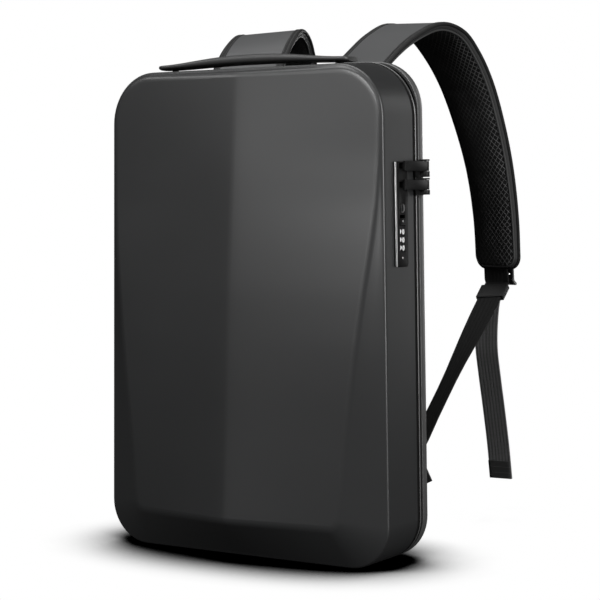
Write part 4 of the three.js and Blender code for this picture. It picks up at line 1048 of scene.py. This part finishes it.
def upright(name, radius, x, y, low, high, sides=28):
    rows = []
    for z in (low, high):
        turns = [2 * math.pi * i / sides for i in range(sides)]
        rows.append([np.array([x + radius * math.cos(t), y + radius * math.sin(t), z]) for t in turns])
    return faceOutwards(skin(name, rows))


buildHandle()

print("backpack: hard pieces")


# A copy of a CAD node with its flat faces joined and its edges rounded.
def softened(node, name, width, segments=2, angle=35.0):
    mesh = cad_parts[node].data.copy()
    thing = bpy.data.objects.new(name, mesh)
    scene.collection.objects.link(thing)
    work = bmesh.new()
    work.from_mesh(mesh)
    bmesh.ops.remove_doubles(work, verts=work.verts, dist=0.00001)
    bmesh.ops.dissolve_limit(work, angle_limit=math.radians(1.0), verts=work.verts, edges=work.edges)
    work.to_mesh(mesh)
    work.free()
    mesh.shade_smooth()
    bevel = thing.modifiers.new("softEdges", "BEVEL")
    bevel.width = width / 1000
    bevel.segments = segments
    bevel.limit_method = "ANGLE"
    bevel.angle_limit = math.radians(angle)
    bevel.harden_normals = True
    applyModifiers(thing)
    thing.data.set_sharp_from_angle(angle=math.radians(angle + 15))
    return thing


# node, name, finish, slot, body, radius of the softened edges
hardPieces = [
    ("lock_body", "lockBody", "lock", "plastic", "bag", 0.3),
    ("lock_trim", "lockTrim", "trim", "trim", "bag", 0.3),
    ("lock_key_core", "keyCore", "core", "core", "key_core", 0.15),
    ("lock_release", "releaseButton", "lock", "plastic", "release", 0.3),
    ("zip_slider_upper", "sliderUpper", "pull", "slider", "bag", 1.2),
    ("zip_slider_lower", "sliderLower", "pull", "slider", "bag", 1.2),
    ("zip_pull_upper", "pullUpper", "pull", "slider", "pull_upper", 0.7),
    ("zip_pull_lower", "pullLower", "pull", "slider", "pull_lower", 0.7),
    ("handle_post_left", "postLeft", "lock", "plastic", "bag", 0.25),
    ("handle_post_right", "postRight", "lock", "plastic", "bag", 0.25),
    ("lock_dial_1", "dialOne", "dial", "dial", "dial_1", 0.25),
    ("lock_dial_2", "dialTwo", "dial", "dial", "dial_2", 0.25),
    ("lock_dial_3", "dialThree", "dial", "dial", "dial_3", 0.25),
    ("strap_buckle_right", "buckleRight", "buckle", "buckle", "bag", 0.9),
    ("strap_buckle_left", "buckleLeft", "buckle", "buckle", "bag", 0.9),
    ("web_keeper_right", "keeperRight", "sleeve", "webbing", "bag", 0.8),
    ("web_keeper_left", "keeperLeft", "sleeve", "webbing", "bag", 0.8),
    ("web_anchor_right", "anchorRight", "sleeve", "webbing", "bag", 0.5),
    ("web_anchor_left", "anchorLeft", "sleeve", "webbing", "bag", 0.5),
]


def buildHardPieces():
    for node, name, look, slot, body, edge in hardPieces:
        settle(finish(softened(node, name, edge), look), body, slot, node)


buildHardPieces()


# Figures and marks are flat meshes of text set on a face by a matrix in the lock's own frame.
def markMesh(name, text, size, matrix, bold=0.0, thick=0.05):
    curve = bpy.data.curves.new(name, "FONT")
    curve.body = text
    curve.align_x = "CENTER"
    curve.align_y = "CENTER"
    curve.size = size / 1000
    curve.extrude = thick / 1000
    curve.offset = bold / 1000
    curve.resolution_u = 2
    words = bpy.data.objects.new(name, curve)
    scene.collection.objects.link(words)
    bpy.context.view_layer.update()
    mesh = bpy.data.meshes.new_from_object(words.evaluated_get(bpy.context.evaluated_depsgraph_get()))
    bpy.data.objects.remove(words)
    mesh.transform(matrix)
    return mesh


def joinMeshes(name, meshes):
    work = bmesh.new()
    for mesh in meshes:
        work.from_mesh(mesh)
    joined = bpy.data.meshes.new(name)
    work.to_mesh(joined)
    work.free()
    thing = bpy.data.objects.new(name, joined)
    scene.collection.objects.link(thing)
    return thing


# Puts a mark's plane at x out, y along and z up of the lock, turned round the upright axis.
def onLock(x, y, z, turned=0.0):
    face = Matrix(((0, 0, 1), (1, 0, 0), (0, 1, 0))).to_4x4()
    return Matrix.Rotation(turned, 4, "Z") @ Matrix.Translation(Vector((x, y, z)) / 1000) @ face


def buildDigits():
    face = lock["dialRadius"] * math.cos(math.pi / lock["dialSides"])
    for number, name in enumerate(("One", "Two", "Three")):
        middle = lock["dialUp"] + (1 - number) * lock["dialPitch"]
        place = lockPlace @ Matrix.Translation(Vector((lock["wheelX"], lock["faceBack"], middle)) / 1000)
        meshes = []
        for digit in range(10):
            turned = 2 * math.pi * digit / 10
            spot = place @ onLock(face, 0, 0, turned)
            meshes.append(markMesh("digit", str(digit), lock["figureTall"], spot, lock["figureBold"]))
        thing = joinMeshes("dialFigures" + name, meshes)
        settle(finish(thing, "ink"), "dial_" + str(number + 1), "dial")


buildDigits()


# the small arrow under the dials and the one on the release: node, name, text, height on the lock, body
arrows = [
    ("lock_body", "dialArrow", "v", -37.5, "bag"),
    ("lock_release", "releaseArrow", "^", -6.5, "release"),
]


def buildArrows():
    back = lockPlace.inverted()
    for node, name, text, up, body in arrows:
        out = max((back @ v.co).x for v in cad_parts[node].data.vertices) * 1000
        spot = lockPlace @ onLock(out, lock["faceBack"], up)
        mark = joinMeshes(name, [markMesh(name, text, lock["arrowTall"], spot)])
        settle(finish(mark, "ink"), body, "dial")


buildArrows()

print("backpack: shoulder straps")
strap = {
    "rootX": 56.5, "rootUp": 392, "flare": 14.3, "wide": 70, "lean": 3,
    "reach": 223, "lift": 97.5, "fall": 238.5, "face": 1.6, "gap": 0.3, "panelThick": 8.7, "endRound": 13,
    "padThick": 8.4, "padRoot": 2.4, "padFrom": 30.0, "padInset": 1.2, "padFull": 0.9, "padEndRound": 5.0,
    "bindWide": 6.5, "bindThick": 0.5, "pipe": 1.0, "pipeInset": 3.3, "pipeDeep": 0.62,
    "stitchPitch": 2.0, "stitchWide": 0.4, "stitchTilt": 24.0, "stitchInset": 2.2,
    "stations": 220, "faceSteps": 120, "padSteps": 110, "endSteps": 10,
}
# out is a share of the reach and down of the fall; the rest are shares of their own sizes
strapRows = {
    "out": [0, 0, 0.012, 0.06, 0.162, 0.3, 0.445, 0.585, 0.685, 0.78, 0.865, 0.935, 0.98, 1],
    "down": [0.42, 0.37, 0.3, 0.215, 0.135, 0.05, 0, 0.025, 0.1, 0.215, 0.38, 0.57, 0.78, 1],
    "pad": [0, 0, 0.1, 0.3, 0.5, 0.75, 0.95, 1, 1, 1, 1, 1, 0.95, 0.6],
    "turn": [0, 0, 0.2, 0.8, 1.35, 1.1, 0.75, 0.8, 0.9, 1, 1, 1, 1, 1],
    "lean": [0, 0, 0.1, 0.5, 0.8, 1, 1, 0.8, 0.5, 0.2, 0, 0, 0, 0],
    "wide": [1, 1, 1, 1, 1, 1, 1, 0.98, 0.96, 0.93, 0.875, 0.815, 0.785, 0.785],
    "aside": [0, 0, 0, 0, 0, 0, 0, 0.01, 0.018, 0.03, 0.05, 0.07, 0.075, 0.065],
}
panelBack = rearBack + strap["gap"] + strap["panelThick"]
flare = math.radians(strap["flare"])
strapOut = np.array([math.sin(flare), math.cos(flare), 0])
strapAcross = np.array([math.cos(flare), -math.sin(flare), 0])
crestUp = strap["rootUp"] + strap["lift"]
strapEndUp = crestUp - strap["fall"]


# A point on a smooth curve through the spots, at a share t of their count.
def curvePoint(spots, t):
    count = len(spots)
    seat = min(max(t, 0), 1) * (count - 1)
    i = min(int(seat), count - 2)
    w = seat - i
    first = spots[i - 1] if i > 0 else 2 * spots[0] - spots[1]
    last = spots[i + 2] if i + 2 < count else 2 * spots[-1] - spots[-2]
    p = [first, spots[i], spots[i + 1], last]
    d = [max(np.linalg.norm(p[k + 1] - p[k]) ** 0.5, 0.0001) for k in range(3)]
    t1 = ((p[1] - p[0]) / d[0] - (p[2] - p[0]) / (d[0] + d[1]) + (p[2] - p[1]) / d[1]) * d[1]
    t2 = ((p[2] - p[1]) / d[1] - (p[3] - p[1]) / (d[1] + d[2]) + (p[3] - p[2]) / d[2]) * d[1]
    squared, cubed = -3 * p[1] + 3 * p[2] - 2 * t1 - t2, 2 * p[1] - 2 * p[2] + t1 + t2
    return p[1] + t1 * w + squared * w ** 2 + cubed * w ** 3


# A place out of the back panel along the strap's own upright plane, and aside of it.
def onStrap(out, aside, up):
    return np.array([strap["rootX"], panelBack, up]) + strapOut * out + strapAcross * aside


def strapStations():
    rootOff = strap["gap"] + strap["face"]
    spots = [
        np.array([out * strap["reach"] + rootOff, 0, crestUp - down * strap["fall"]])
        for out, down in zip(strapRows["out"], strapRows["down"])
    ]
    rows = {"middle": [], "across": [], "skin": [], "half": [], "pad": []}
    seats = np.arange(len(strapRows["out"]))
    for i in range(strap["stations"] + 1):
        t = i / strap["stations"]
        spot = curvePoint(spots, t)
        tangent = unit(curvePoint(spots, min(t + 0.0001, 1)) - curvePoint(spots, max(t - 0.0001, 0)))
        seat = t * (len(seats) - 1)
        value = {}
        for key in ("turn", "lean", "aside", "wide", "pad"):
            near = np.clip(seat + np.array([-0.4, 0, 0.4]), 0, seats[-1])
            value[key] = float(np.dot(np.interp(near, seats, strapRows[key]), [0.25, 0.5, 0.25]))
        along = strapOut * tangent[0] + np.array([0, 0, tangent[2]])
        turned = math.radians(strap["flare"] * value["turn"])
        leaned = math.radians(strap["lean"] * value["lean"])
        across = np.array([math.cos(turned), -math.sin(turned), -math.sin(leaned)])
        across = unit(across - along * np.dot(across, along))
        rows["middle"].append(onStrap(spot[0], value["aside"] * strap["wide"], spot[2]))
        rows["across"].append(across)
        rows["skin"].append(unit(np.cross(across, along)))
        rows["half"].append([value["wide"] * strap["wide"] / 2])
        rows["pad"].append([lerp(strap["padRoot"], strap["padThick"], value["pad"])])
    return {key: np.array(value) for key, value in rows.items()}


stations = strapStations()
reach = runLengths(stations["middle"])
strapLong = float(reach[-1])


def stationValue(key, s):
    column = stations[key]
    return np.stack([np.interp(s, reach, column[:, k]) for k in range(column.shape[1])], axis=-1)


# Places at s along the strap, aside across it and deep out of its face.
def strapAt(s, aside, deep):
    s, aside, deep = (np.atleast_1d(np.asarray(v, dtype=float)) for v in (s, aside, deep))
    middle, across, outward = (stationValue(key, s) for key in ("middle", "across", "skin"))
    across /= np.linalg.norm(across, axis=-1, keepdims=True)
    outward /= np.linalg.norm(outward, axis=-1, keepdims=True)
    return middle + across * aside[..., None] + outward * deep[..., None]


# The half width at s, drawn in round the lower end.
def strapHalf(s, inset=0.0):
    radius = strap["endRound"] - inset * 0.5
    left = np.clip(strapLong - inset - np.asarray(s, dtype=float), 0, radius)
    drawn = radius - np.sqrt(np.maximum(radius ** 2 - (radius - left) ** 2, 0))
    return np.interp(s, reach, stations["half"][:, 0]) - inset - drawn


# Steps along the strap that close up at its rounded lower end.
def strapSteps(first, inset, count):
    radius = strap["endRound"] - inset * 0.5
    end = strapLong - inset
    main = list(np.linspace(first, end - radius, count))
    turns = [math.pi / 2 * k / strap["endSteps"] for k in range(1, strap["endSteps"] + 1)]
    return np.array(main + [end - radius * (1 - math.sin(t)) for t in turns])


# The strap's edge in its own plane, from one root round to the other: s, aside, and the way inwards.
def strapEdge(inset, pitch=3.0):
    radius = strap["endRound"] - inset * 0.5
    end = strapLong - inset
    bottom = float(strapHalf(end - radius, inset))
    path = []
    for s in np.arange(0, end - radius, pitch):
        path.append((s, float(strapHalf(s, inset)), 0, -1))
    for k in range(strap["endSteps"] + 1):
        t = math.pi / 2 * k / strap["endSteps"]
        sine, cosine = math.sin(t), math.cos(t)
        path.append((end - radius + radius * sine, bottom - radius + radius * cosine, -sine, -cosine))
    for share in np.linspace(0.8, 0, 5):
        path.append((end, (bottom - radius) * share, -1, 0))
    mirror = [(s, -a, ns, -na) for s, a, ns, na in path[:-1]][::-1]
    return np.array(path + mirror)


# A closed section of (inwards, deep) points carried along the strap's edge.
def edgeTube(name, section, material, inset=0.0, sharp=50):
    path = strapEdge(inset)
    rows = []
    for s, a, ns, na in path:
        spots = [(s + ns * i, a + na * i, d(s) if callable(d) else d) for i, d in section]
        rows.append(list(strapAt(*zip(*spots))))
    lengths = runLengths([row[0] for row in rows])
    around = runLengths(rows[0])
    uvs = [(around[i] / 100, lengths[r] / 100) for r in range(len(rows)) for i in range(len(section))]
    tube = skin(name, rows, uvs=uvs)
    return finish(faceOutwards(tube, sharp=sharp), material)


def bothSides(thing, body, slot, node=None):
    left = mirrorCopy(thing, thing.name.replace("Right", "Left"))
    for piece, side in ((thing, "right"), (left, "left")):
        settle(piece, body, slot, *([node + "_" + side] if node else []))
    return thing, left


def buildStrapFace():
    inset = 0.25
    thick = strap["face"]
    steps = strapSteps(0, inset, strap["faceSteps"])
    shares = [-1, -0.995, -0.97, -0.9, -0.75, -0.5, -0.25, 0, 0.25, 0.5, 0.75, 0.9, 0.97, 0.995, 1]
    rows, uvs = [], []
    for s in steps:
        half = float(strapHalf(s, inset))
        top = [(half * u, thick - 0.5 * abs(u) ** 40) for u in shares]
        under = [(half * u, 0.0) for u in shares[::-2]]
        section = top + under
        rows.append(list(strapAt([s] * len(section), [a for a, _ in section], [d for _, d in section])))
        uvs += [(a / 100, s / 100) for a, _ in section]
    face = faceOutwards(skin("strapFaceRight", rows, uvs=uvs), sharp=50)
    bothSides(finish(face, "strap"), "bag", "strap", "strap_face")


def buildBinding():
    wide, thick, face = strap["bindWide"], strap["bindThick"], strap["face"]
    top = face + thick
    section = [
        (wide, face + 0.03), (wide, top - 0.15), (wide - 0.3, top), (1.2, top + 0.1), (0.2, top - 0.25),
        (-0.45, face - 0.4), (-0.65, 0.3), (-0.45, -0.7), (0.3, -1.3), (1.4, -1.45),
        (1.8, -1.2), (1.8, -0.1), (0.1, -0.1), (0.1, face + 0.03),
    ]
    bothSides(edgeTube("strapBindingRight", section, "piping"), "bag", "strap")
    pitch, broad = strap["stitchPitch"], strap["stitchWide"]
    for label, inset in (("Inner", wide - 1.0), ("Outer", strap["stitchInset"])):
        path = strapEdge(inset)
        line, lifted = (
            evenSteps(strapAt(path[:, 0], path[:, 1], np.full(len(path), top + rise)), pitch, False)
            for rise in (0.02, 3.0)
        )
        ahead = headings(line, False)
        spots = np.linspace(0, len(lifted) - 1, len(line))
        lifted = np.stack([np.interp(spots, np.arange(len(lifted)), lifted[:, k]) for k in range(3)], axis=1)
        proud = lifted - line
        proud /= np.linalg.norm(proud, axis=1)[:, None]
        name, size = "strapStitches" + label + "Right", (broad, pitch * 0.85, broad)
        stitches = blocksOn(name, line, ahead, proud, "thread", size, tilt=strap["stitchTilt"], rounded=True)
        bothSides(stitches, "bag", "strap")


# How thick the pad is at s and at a share u of its half width, rounded off at its edges and its lower end.
def padProfile(s, u, thick):
    left = max(strapLong - 1.4 - s, 0.0)
    end = math.sqrt(max(1 - (1 - min(left / strap["padEndRound"], 1)) ** 2, 0))
    edge = (1 - abs(u) ** 7) ** 0.5
    return max(thick * edge * max(end, 0.12), 0.3)


# The points that a seam holds: the flat side and its two edges, in rows of far and near points.
def heldPoints(rowCount, farCount, count):
    edges = (0, 1, farCount - 2, farCount - 1)
    row = [k for k in range(count) if k >= farCount or k in edges]
    return [r * count + k for r in range(rowCount) for k in row]


def buildPad():
    inset = strap["padInset"]
    steps = strapSteps(strap["padFrom"], inset, strap["padSteps"])
    far = np.sin(np.linspace(-math.pi / 2, math.pi / 2, 23))
    near = np.linspace(0.94, -0.94, 9)
    rows, uvs = [], []
    for s in steps:
        half = float(strapHalf(s, inset))
        thick = float(np.interp(s, reach, stations["pad"][:, 0])) * strap["padFull"]
        section = [(half * u, -strap["gap"] - padProfile(s, u, thick)) for u in far]
        section += [(half * u, -strap["gap"]) for u in near]
        rows.append(list(strapAt([s] * len(section), [a for a, _ in section], [d for _, d in section])))
        uvs += [(a / 100, s / 100) for a, _ in section]
    pad = faceOutwards(skin("strapPadRight", rows, uvs=uvs), merge=0.0000001)
    count = len(far) + len(near)
    swell(pad, heldPoints(len(steps), len(far), count))
    pad.data.set_sharp_from_angle(angle=math.radians(70))
    finish(pad, "padMesh", "padEdge")
    for polygon in pad.data.polygons:
        spots = [v % count for v in polygon.vertices]
        polygon.material_index = 0 if 3 <= min(spots) and max(spots) <= len(far) - 4 else 1
    addSubdivision(pad)
    pieces = bothSides(pad, "bag", "lining", "strap_pad")


def addSubdivision(thing):
    modifier = thing.modifiers.new("smooth", "SUBSURF")
    modifier.levels = modifier.render_levels = 1
    return applyModifiers(thing)


puff = {
    "frames": 20, "quality": 6, "mass": 0.3, "tension": 20, "compression": 12, "shear": 8, "bending": 1.5,
    "pressure": 3.0, "cap": 1.2,
}


# Inflates a closed cloth form with its held points kept in place; no point moves further than the cap.
def swell(thing, held):
    start = np.array([v.co for v in thing.data.vertices])
    group = thing.vertex_groups.new(name="seam")
    group.add(held, 1.0, "REPLACE")
    modifier = thing.modifiers.new("swell", "CLOTH")
    settings = modifier.settings
    settings.quality = puff["quality"]
    settings.mass = puff["mass"]
    settings.tension_stiffness = puff["tension"]
    settings.compression_stiffness = puff["compression"]
    settings.shear_stiffness = puff["shear"]
    settings.bending_stiffness = puff["bending"]
    settings.use_pressure = True
    settings.uniform_pressure_force = puff["pressure"]
    settings.vertex_group_mass = "seam"
    settings.effector_weights.gravity = 0
    modifier.collision_settings.use_collision = False
    modifier.point_cache.frame_start = 1
    modifier.point_cache.frame_end = puff["frames"]
    for step in range(1, puff["frames"] + 1):
        scene.frame_set(step)
    applyModifiers(thing)
    thing.vertex_groups.clear()
    scene.frame_set(1)
    moved = np.array([v.co for v in thing.data.vertices]) - start
    far = np.linalg.norm(moved, axis=1)
    moved *= np.minimum(1, puff["cap"] / 1000 / np.maximum(far, 1e-9))[:, None]
    thing.data.vertices.foreach_set("co", (start + moved).ravel())
    thing.data.update()
    return thing


def buildPadPiping():
    def edgeDeep(offset):
        share = strap["pipeDeep"]
        return lambda s: -strap["gap"] - float(np.interp(s, reach, stations["pad"][:, 0])) * share + offset

    radius = strap["pipe"]
    section = []
    for k in range(8):
        t = 2 * math.pi * k / 8
        section.append((radius * math.cos(t), edgeDeep(radius * math.sin(t))))
    bothSides(edgeTube("padPipingRight", section, "cord", inset=strap["pipeInset"], sharp=0), "bag", "lining")


buildStrapFace()
buildBinding()
buildPad()
buildPadPiping()


print("backpack: buckles' webbing")
web = {
    "wide": 26, "thick": 1.4, "twist": -42, "hardwareTurn": -7, "aside": -1.5, "tabLong": 34,
    "buckleLong": 14.5, "buckleThick": 4, "buckleTilt": 5, "buckleDrop": 3, "bar": 3.5, "slot": 4.2,
    "keeperLong": 20, "keeperAlong": 16, "anchorX": 127, "anchorUp": 72, "anchorTurn": 27, "anchorThick": 2,
    "tailLong": 182, "tailSwing": 13, "fine": 6,
    "hemLong": 17, "hemThick": 1.1, "hemStitches": 12, "hemStitchHalf": 11.5,
}
# down is a share of the free end's length, out and aside of its swing
tailRows = {
    "down": [0.1, 0.25, 0.42, 0.58, 0.8, 1.0],
    "out": [-0.42, -0.68, -0.32, 0.12, 0.66, 1.0],
    "aside": [0.02, 0.1, 0.22, 0.34, 0.5, 0.64],
}


def buckleFrame():
    turn, tilt = math.radians(web["hardwareTurn"]), math.radians(web["buckleTilt"])
    across = np.array([math.cos(turn), math.sin(turn), 0])
    level = np.array([-math.sin(turn), math.cos(turn), 0])
    down = level * math.sin(tilt) - np.array([0, 0, math.cos(tilt)])
    outward = level * math.cos(tilt) + np.array([0, 0, math.sin(tilt)])
    clear = web["wide"] / 2 * math.sin(flare + turn)
    behind = strap["face"] + 2 * strap["gap"] + web["thick"] + web["buckleThick"] / 2 + clear
    behind += web["buckleLong"] * math.sin(tilt)
    out = strap["reach"] + strap["face"] + strap["gap"] + behind
    middle = onStrap(out, web["aside"], strapEndUp + web["buckleDrop"])
    return middle, across, down, outward


buckleMiddle, buckleAcross, buckleDown, buckleOut = buckleFrame()


def atBuckle(down, out):
    return buckleMiddle + buckleDown * down + buckleOut * out


firstSlot = web["bar"] - web["buckleLong"]
secondSlot = firstSlot + web["slot"] + web["bar"]
thirdSlot = secondSlot + web["slot"] + web["bar"]
strand = web["buckleThick"] / 2 + strap["gap"] + web["thick"] / 2
anchorTurn = math.radians(web["anchorTurn"])
anchorAcross = np.array([math.cos(anchorTurn), 0, math.sin(anchorTurn)])
anchorUpward = np.array([-anchorAcross[2], 0, anchorAcross[0]])
anchorOut = panelBack + 2 * strap["gap"] + web["anchorThick"] + web["thick"] / 2
anchorPoint = np.array([web["anchorX"], anchorOut, web["anchorUp"]])
webTop = atBuckle(web["buckleLong"] + 2, -strand - web["thick"] - strap["gap"])
webFoot = anchorPoint + anchorUpward * 12 + np.array([0, 2.8, 0])
webAlong = unit(webFoot - webTop)
webUnder = unit(np.cross(webAlong, buckleAcross))
webUnder = -webUnder if webUnder[2] > 0 else webUnder


# A soft-edged band through stations of (middle, width direction), smoothed between them.
def bandMesh(name, places, wide, thick, fine=web["fine"], shift=0.0):
    middles = [np.array(middle, dtype=float) for middle, _ in places]
    count = (len(places) - 1) * fine
    spots = np.array([curvePoint(middles, k / count) for k in range(count + 1)])
    seats = np.arange(len(places))
    at = np.linspace(0, len(places) - 1, count + 1)
    sides = np.stack([np.interp(at, seats, [side[k] for _, side in places]) for k in range(3)], axis=1)
    ahead = headings(spots, False)
    sides -= ahead * np.sum(sides * ahead, axis=1)[:, None]
    sides /= np.linalg.norm(sides, axis=1)[:, None]
    faceways = np.cross(ahead, sides)
    lengths = runLengths(spots)
    flat = np.linspace(-0.975, 0.975, 9)
    section = [(u, -1) for u in flat] + [(1, -0.35), (1, 0.35)]
    section += [(u, 1) for u in flat[::-1]] + [(-1, 0.35), (-1, -0.35)]
    rows, uvs = [], []
    for spot, side, facing, long in zip(spots, sides, faceways, lengths):
        rows.append([spot + side * u * wide / 2 + facing * (v * thick / 2 + shift) for u, v in section])
        uvs += [((u * wide / 2 + wide) / 100, long / 100) for u, _ in section]
    return faceOutwards(skin(name, rows, uvs=uvs), sharp=50, merge=0.0000001), spots, sides, faceways


# The tab: stitched to the strap's end, down to the buckle, round its first bar and back.
def tabPlaces():
    rise = strapEndUp + web["tabLong"]
    flush = strap["reach"] + 2 * strap["gap"] + 2 * strap["face"] + web["thick"] / 2
    loop = firstSlot + web["slot"] / 2 + 0.2
    places = [
        (onStrap(flush, web["aside"], rise), strapAcross),
        (onStrap(flush + strap["gap"], web["aside"], rise - web["tabLong"] * 0.3), strapAcross),
    ]
    turns = [
        (-web["buckleLong"] - 1.5, -strand), (firstSlot - 0.6, -strand), (loop, -strand * 0.62),
        (loop, strand * 0.62), (firstSlot - 0.6, strand), (-web["buckleLong"] - 4, strand),
    ]
    return places + [(atBuckle(down, out), buckleAcross) for down, out in turns]


# The webbing: between its anchor and the buckle, round the buckle's bars, and down to its free end.
def webPlaces():
    inner = strand + web["thick"] + strap["gap"]
    through, back = secondSlot + web["slot"] / 2, thirdSlot + web["slot"] / 2
    twisted = np.array([math.cos(math.radians(web["twist"])), math.sin(math.radians(web["twist"])), 0])
    places = []
    for rise, off in ((-10, 0), (-2, 0), (5, 0.05), (9, 0.7)):
        places.append((anchorPoint + anchorUpward * rise + np.array([0, off, 0]), anchorAcross))
    steps = 10
    for k in range(steps, 0, -1):
        t = k / steps
        side = lerp(buckleAcross, twisted, smoothStep(t, 0.12, 0.6))
        side = lerp(side, anchorAcross, smoothStep(t, 0.75, 1))
        places.append((lerp(webTop, webFoot, t), unit(side)))
    places += [(webTop + webAlong * 3, buckleAcross), (webTop, buckleAcross)]
    turns = [
        (back + 2, -inner), (through + 1.5, -inner), (through - 0.5, -inner * 0.66),
        (through - 0.5, strand * 0.5), (through + 1.4, strand), (back - 1.4, strand),
        (back + 0.3, strand * 0.5), (back + 0.4, -strand * 0.5), (back + 1.6, -strand),
        (web["buckleLong"] + 1.5, -strand),
    ]
    places += [(atBuckle(down, out), buckleAcross) for down, out in turns]
    half = web["keeperLong"] / 2
    for step in (-half - 2.5, -half, half + 0.5, half + 3):
        spot = webTop + webAlong * (web["keeperAlong"] + step) + webUnder * (web["thick"] + strap["gap"])
        places.append((spot, buckleAcross))
    leave = places[-1][0]
    for down, out, aside in zip(tailRows["down"], tailRows["out"], tailRows["aside"]):
        swing = np.array([aside * web["tailSwing"], out * web["tailSwing"], -down * web["tailLong"]])
        places.append((leave + swing, buckleAcross))
    return places


# The free end's fold: a second layer on the side that shows, with a row of stitches at each end.
def buildHem(spots, sides, faceways):
    reachBack = np.cumsum(np.linalg.norm(np.diff(spots[::-1], axis=0), axis=1))
    first = len(spots) - 1 - int(np.searchsorted(reachBack, web["hemLong"])) - 1
    outward = -1 if faceways[-1][1] > 0 else 1
    shift = outward * (web["thick"] + web["hemThick"]) / 2
    places = list(zip(spots[first:], sides[first:]))
    hem, _, _, _ = bandMesh("webHemRight", places, web["wide"] - 0.4, web["hemThick"], 2, shift)
    bothSides(finish(hem, "hem"), "bag", "webbing")
    face = spots + faceways * outward * (web["thick"] / 2 + web["hemThick"])
    line = []
    for row in (first + 1, len(spots) - 2):
        shifts = np.linspace(-web["hemStitchHalf"], web["hemStitchHalf"], web["hemStitches"])
        line += [face[row] + sides[row] * u for u in shifts]
    ahead, proud = [sides[-1]] * len(line), [faceways[-1] * outward] * len(line)
    threads = blocksOn("hemStitchesRight", line, ahead, proud, "thread", (0.45, 1.7, 0.4), rounded=True)
    bothSides(threads, "bag", "webbing")


def buildWebs():
    tab, _, _, _ = bandMesh("strapTabRight", tabPlaces(), web["wide"], web["thick"])
    bothSides(finish(tab, "webbing"), "bag", "webbing", "strap_tab")
    places = webPlaces()
    band, spots, sides, faceways = bandMesh("strapWebRight", places, web["wide"], web["thick"])
    finish(band, "webbing", "tail")
    around = len(band.data.vertices) // len(spots)
    free = (len(places) - 1 - len(tailRows["down"])) * web["fine"]
    for polygon in band.data.polygons:
        polygon.material_index = 1 if min(polygon.vertices) // around >= free else 0
    bothSides(band, "bag", "webbing", "strap_web")
    buildHem(spots, sides, faceways)


buildWebs()

print("backpack: back panel")
panel = {
    "margin": 15, "gap": 0.5, "thick": strap["panelThick"], "fullness": 0.86, "corner": 30, "edgeRound": 5,
    "stepUp": 8, "turns": 6, "columns": 33, "flatColumns": 13,
}


def buildBackPanel():
    margin, back = panel["margin"] + panel["gap"], rearBack + strap["gap"]
    low, high = margin, shell["height"] + shell["draft"] - margin
    corner = panel["corner"]
    turns = [corner * (1 - math.cos(math.pi / 2 * k / panel["turns"])) for k in range(panel["turns"])]
    heights = [low + v for v in turns] + list(np.arange(low + corner, high - corner, panel["stepUp"]))
    heights += [high - v for v in turns[::-1]]
    far = np.sin(np.linspace(-math.pi / 2, math.pi / 2, panel["columns"]))
    near = np.linspace(0.96, -0.96, panel["flatColumns"])
    rows, uvs = [], []
    for z in heights:
        left = min(z - low, high - z, corner)
        half = (shell["halfWidth"] + shell["draft"]) * narrowAt(z) - margin
        half -= corner - math.sqrt(max(corner ** 2 - (corner - left) ** 2, 0))
        edge = math.sqrt(max(1 - (1 - min(left / panel["edgeRound"], 1)) ** 2, 0))
        full = panel["thick"] * panel["fullness"] * max(edge, 0.1)
        section = [(half * u, back + max(full * (1 - abs(u) ** 9) ** 0.5, 0.4)) for u in far]
        section += [(half * u, back) for u in near]
        rows.append([np.array([x, y, z]) for x, y in section])
        uvs += [(x / 100, z / 100) for x, _ in section]
    pad = faceOutwards(skin("backPanel", rows, uvs=uvs), merge=0.0000001)
    count = len(far) + len(near)
    swell(pad, heldPoints(len(heights), len(far), count))
    finish(pad, "mesh")
    addSubdivision(pad)
    settle(pad, "bag", "mesh", "back_panel")


buildBackPanel()
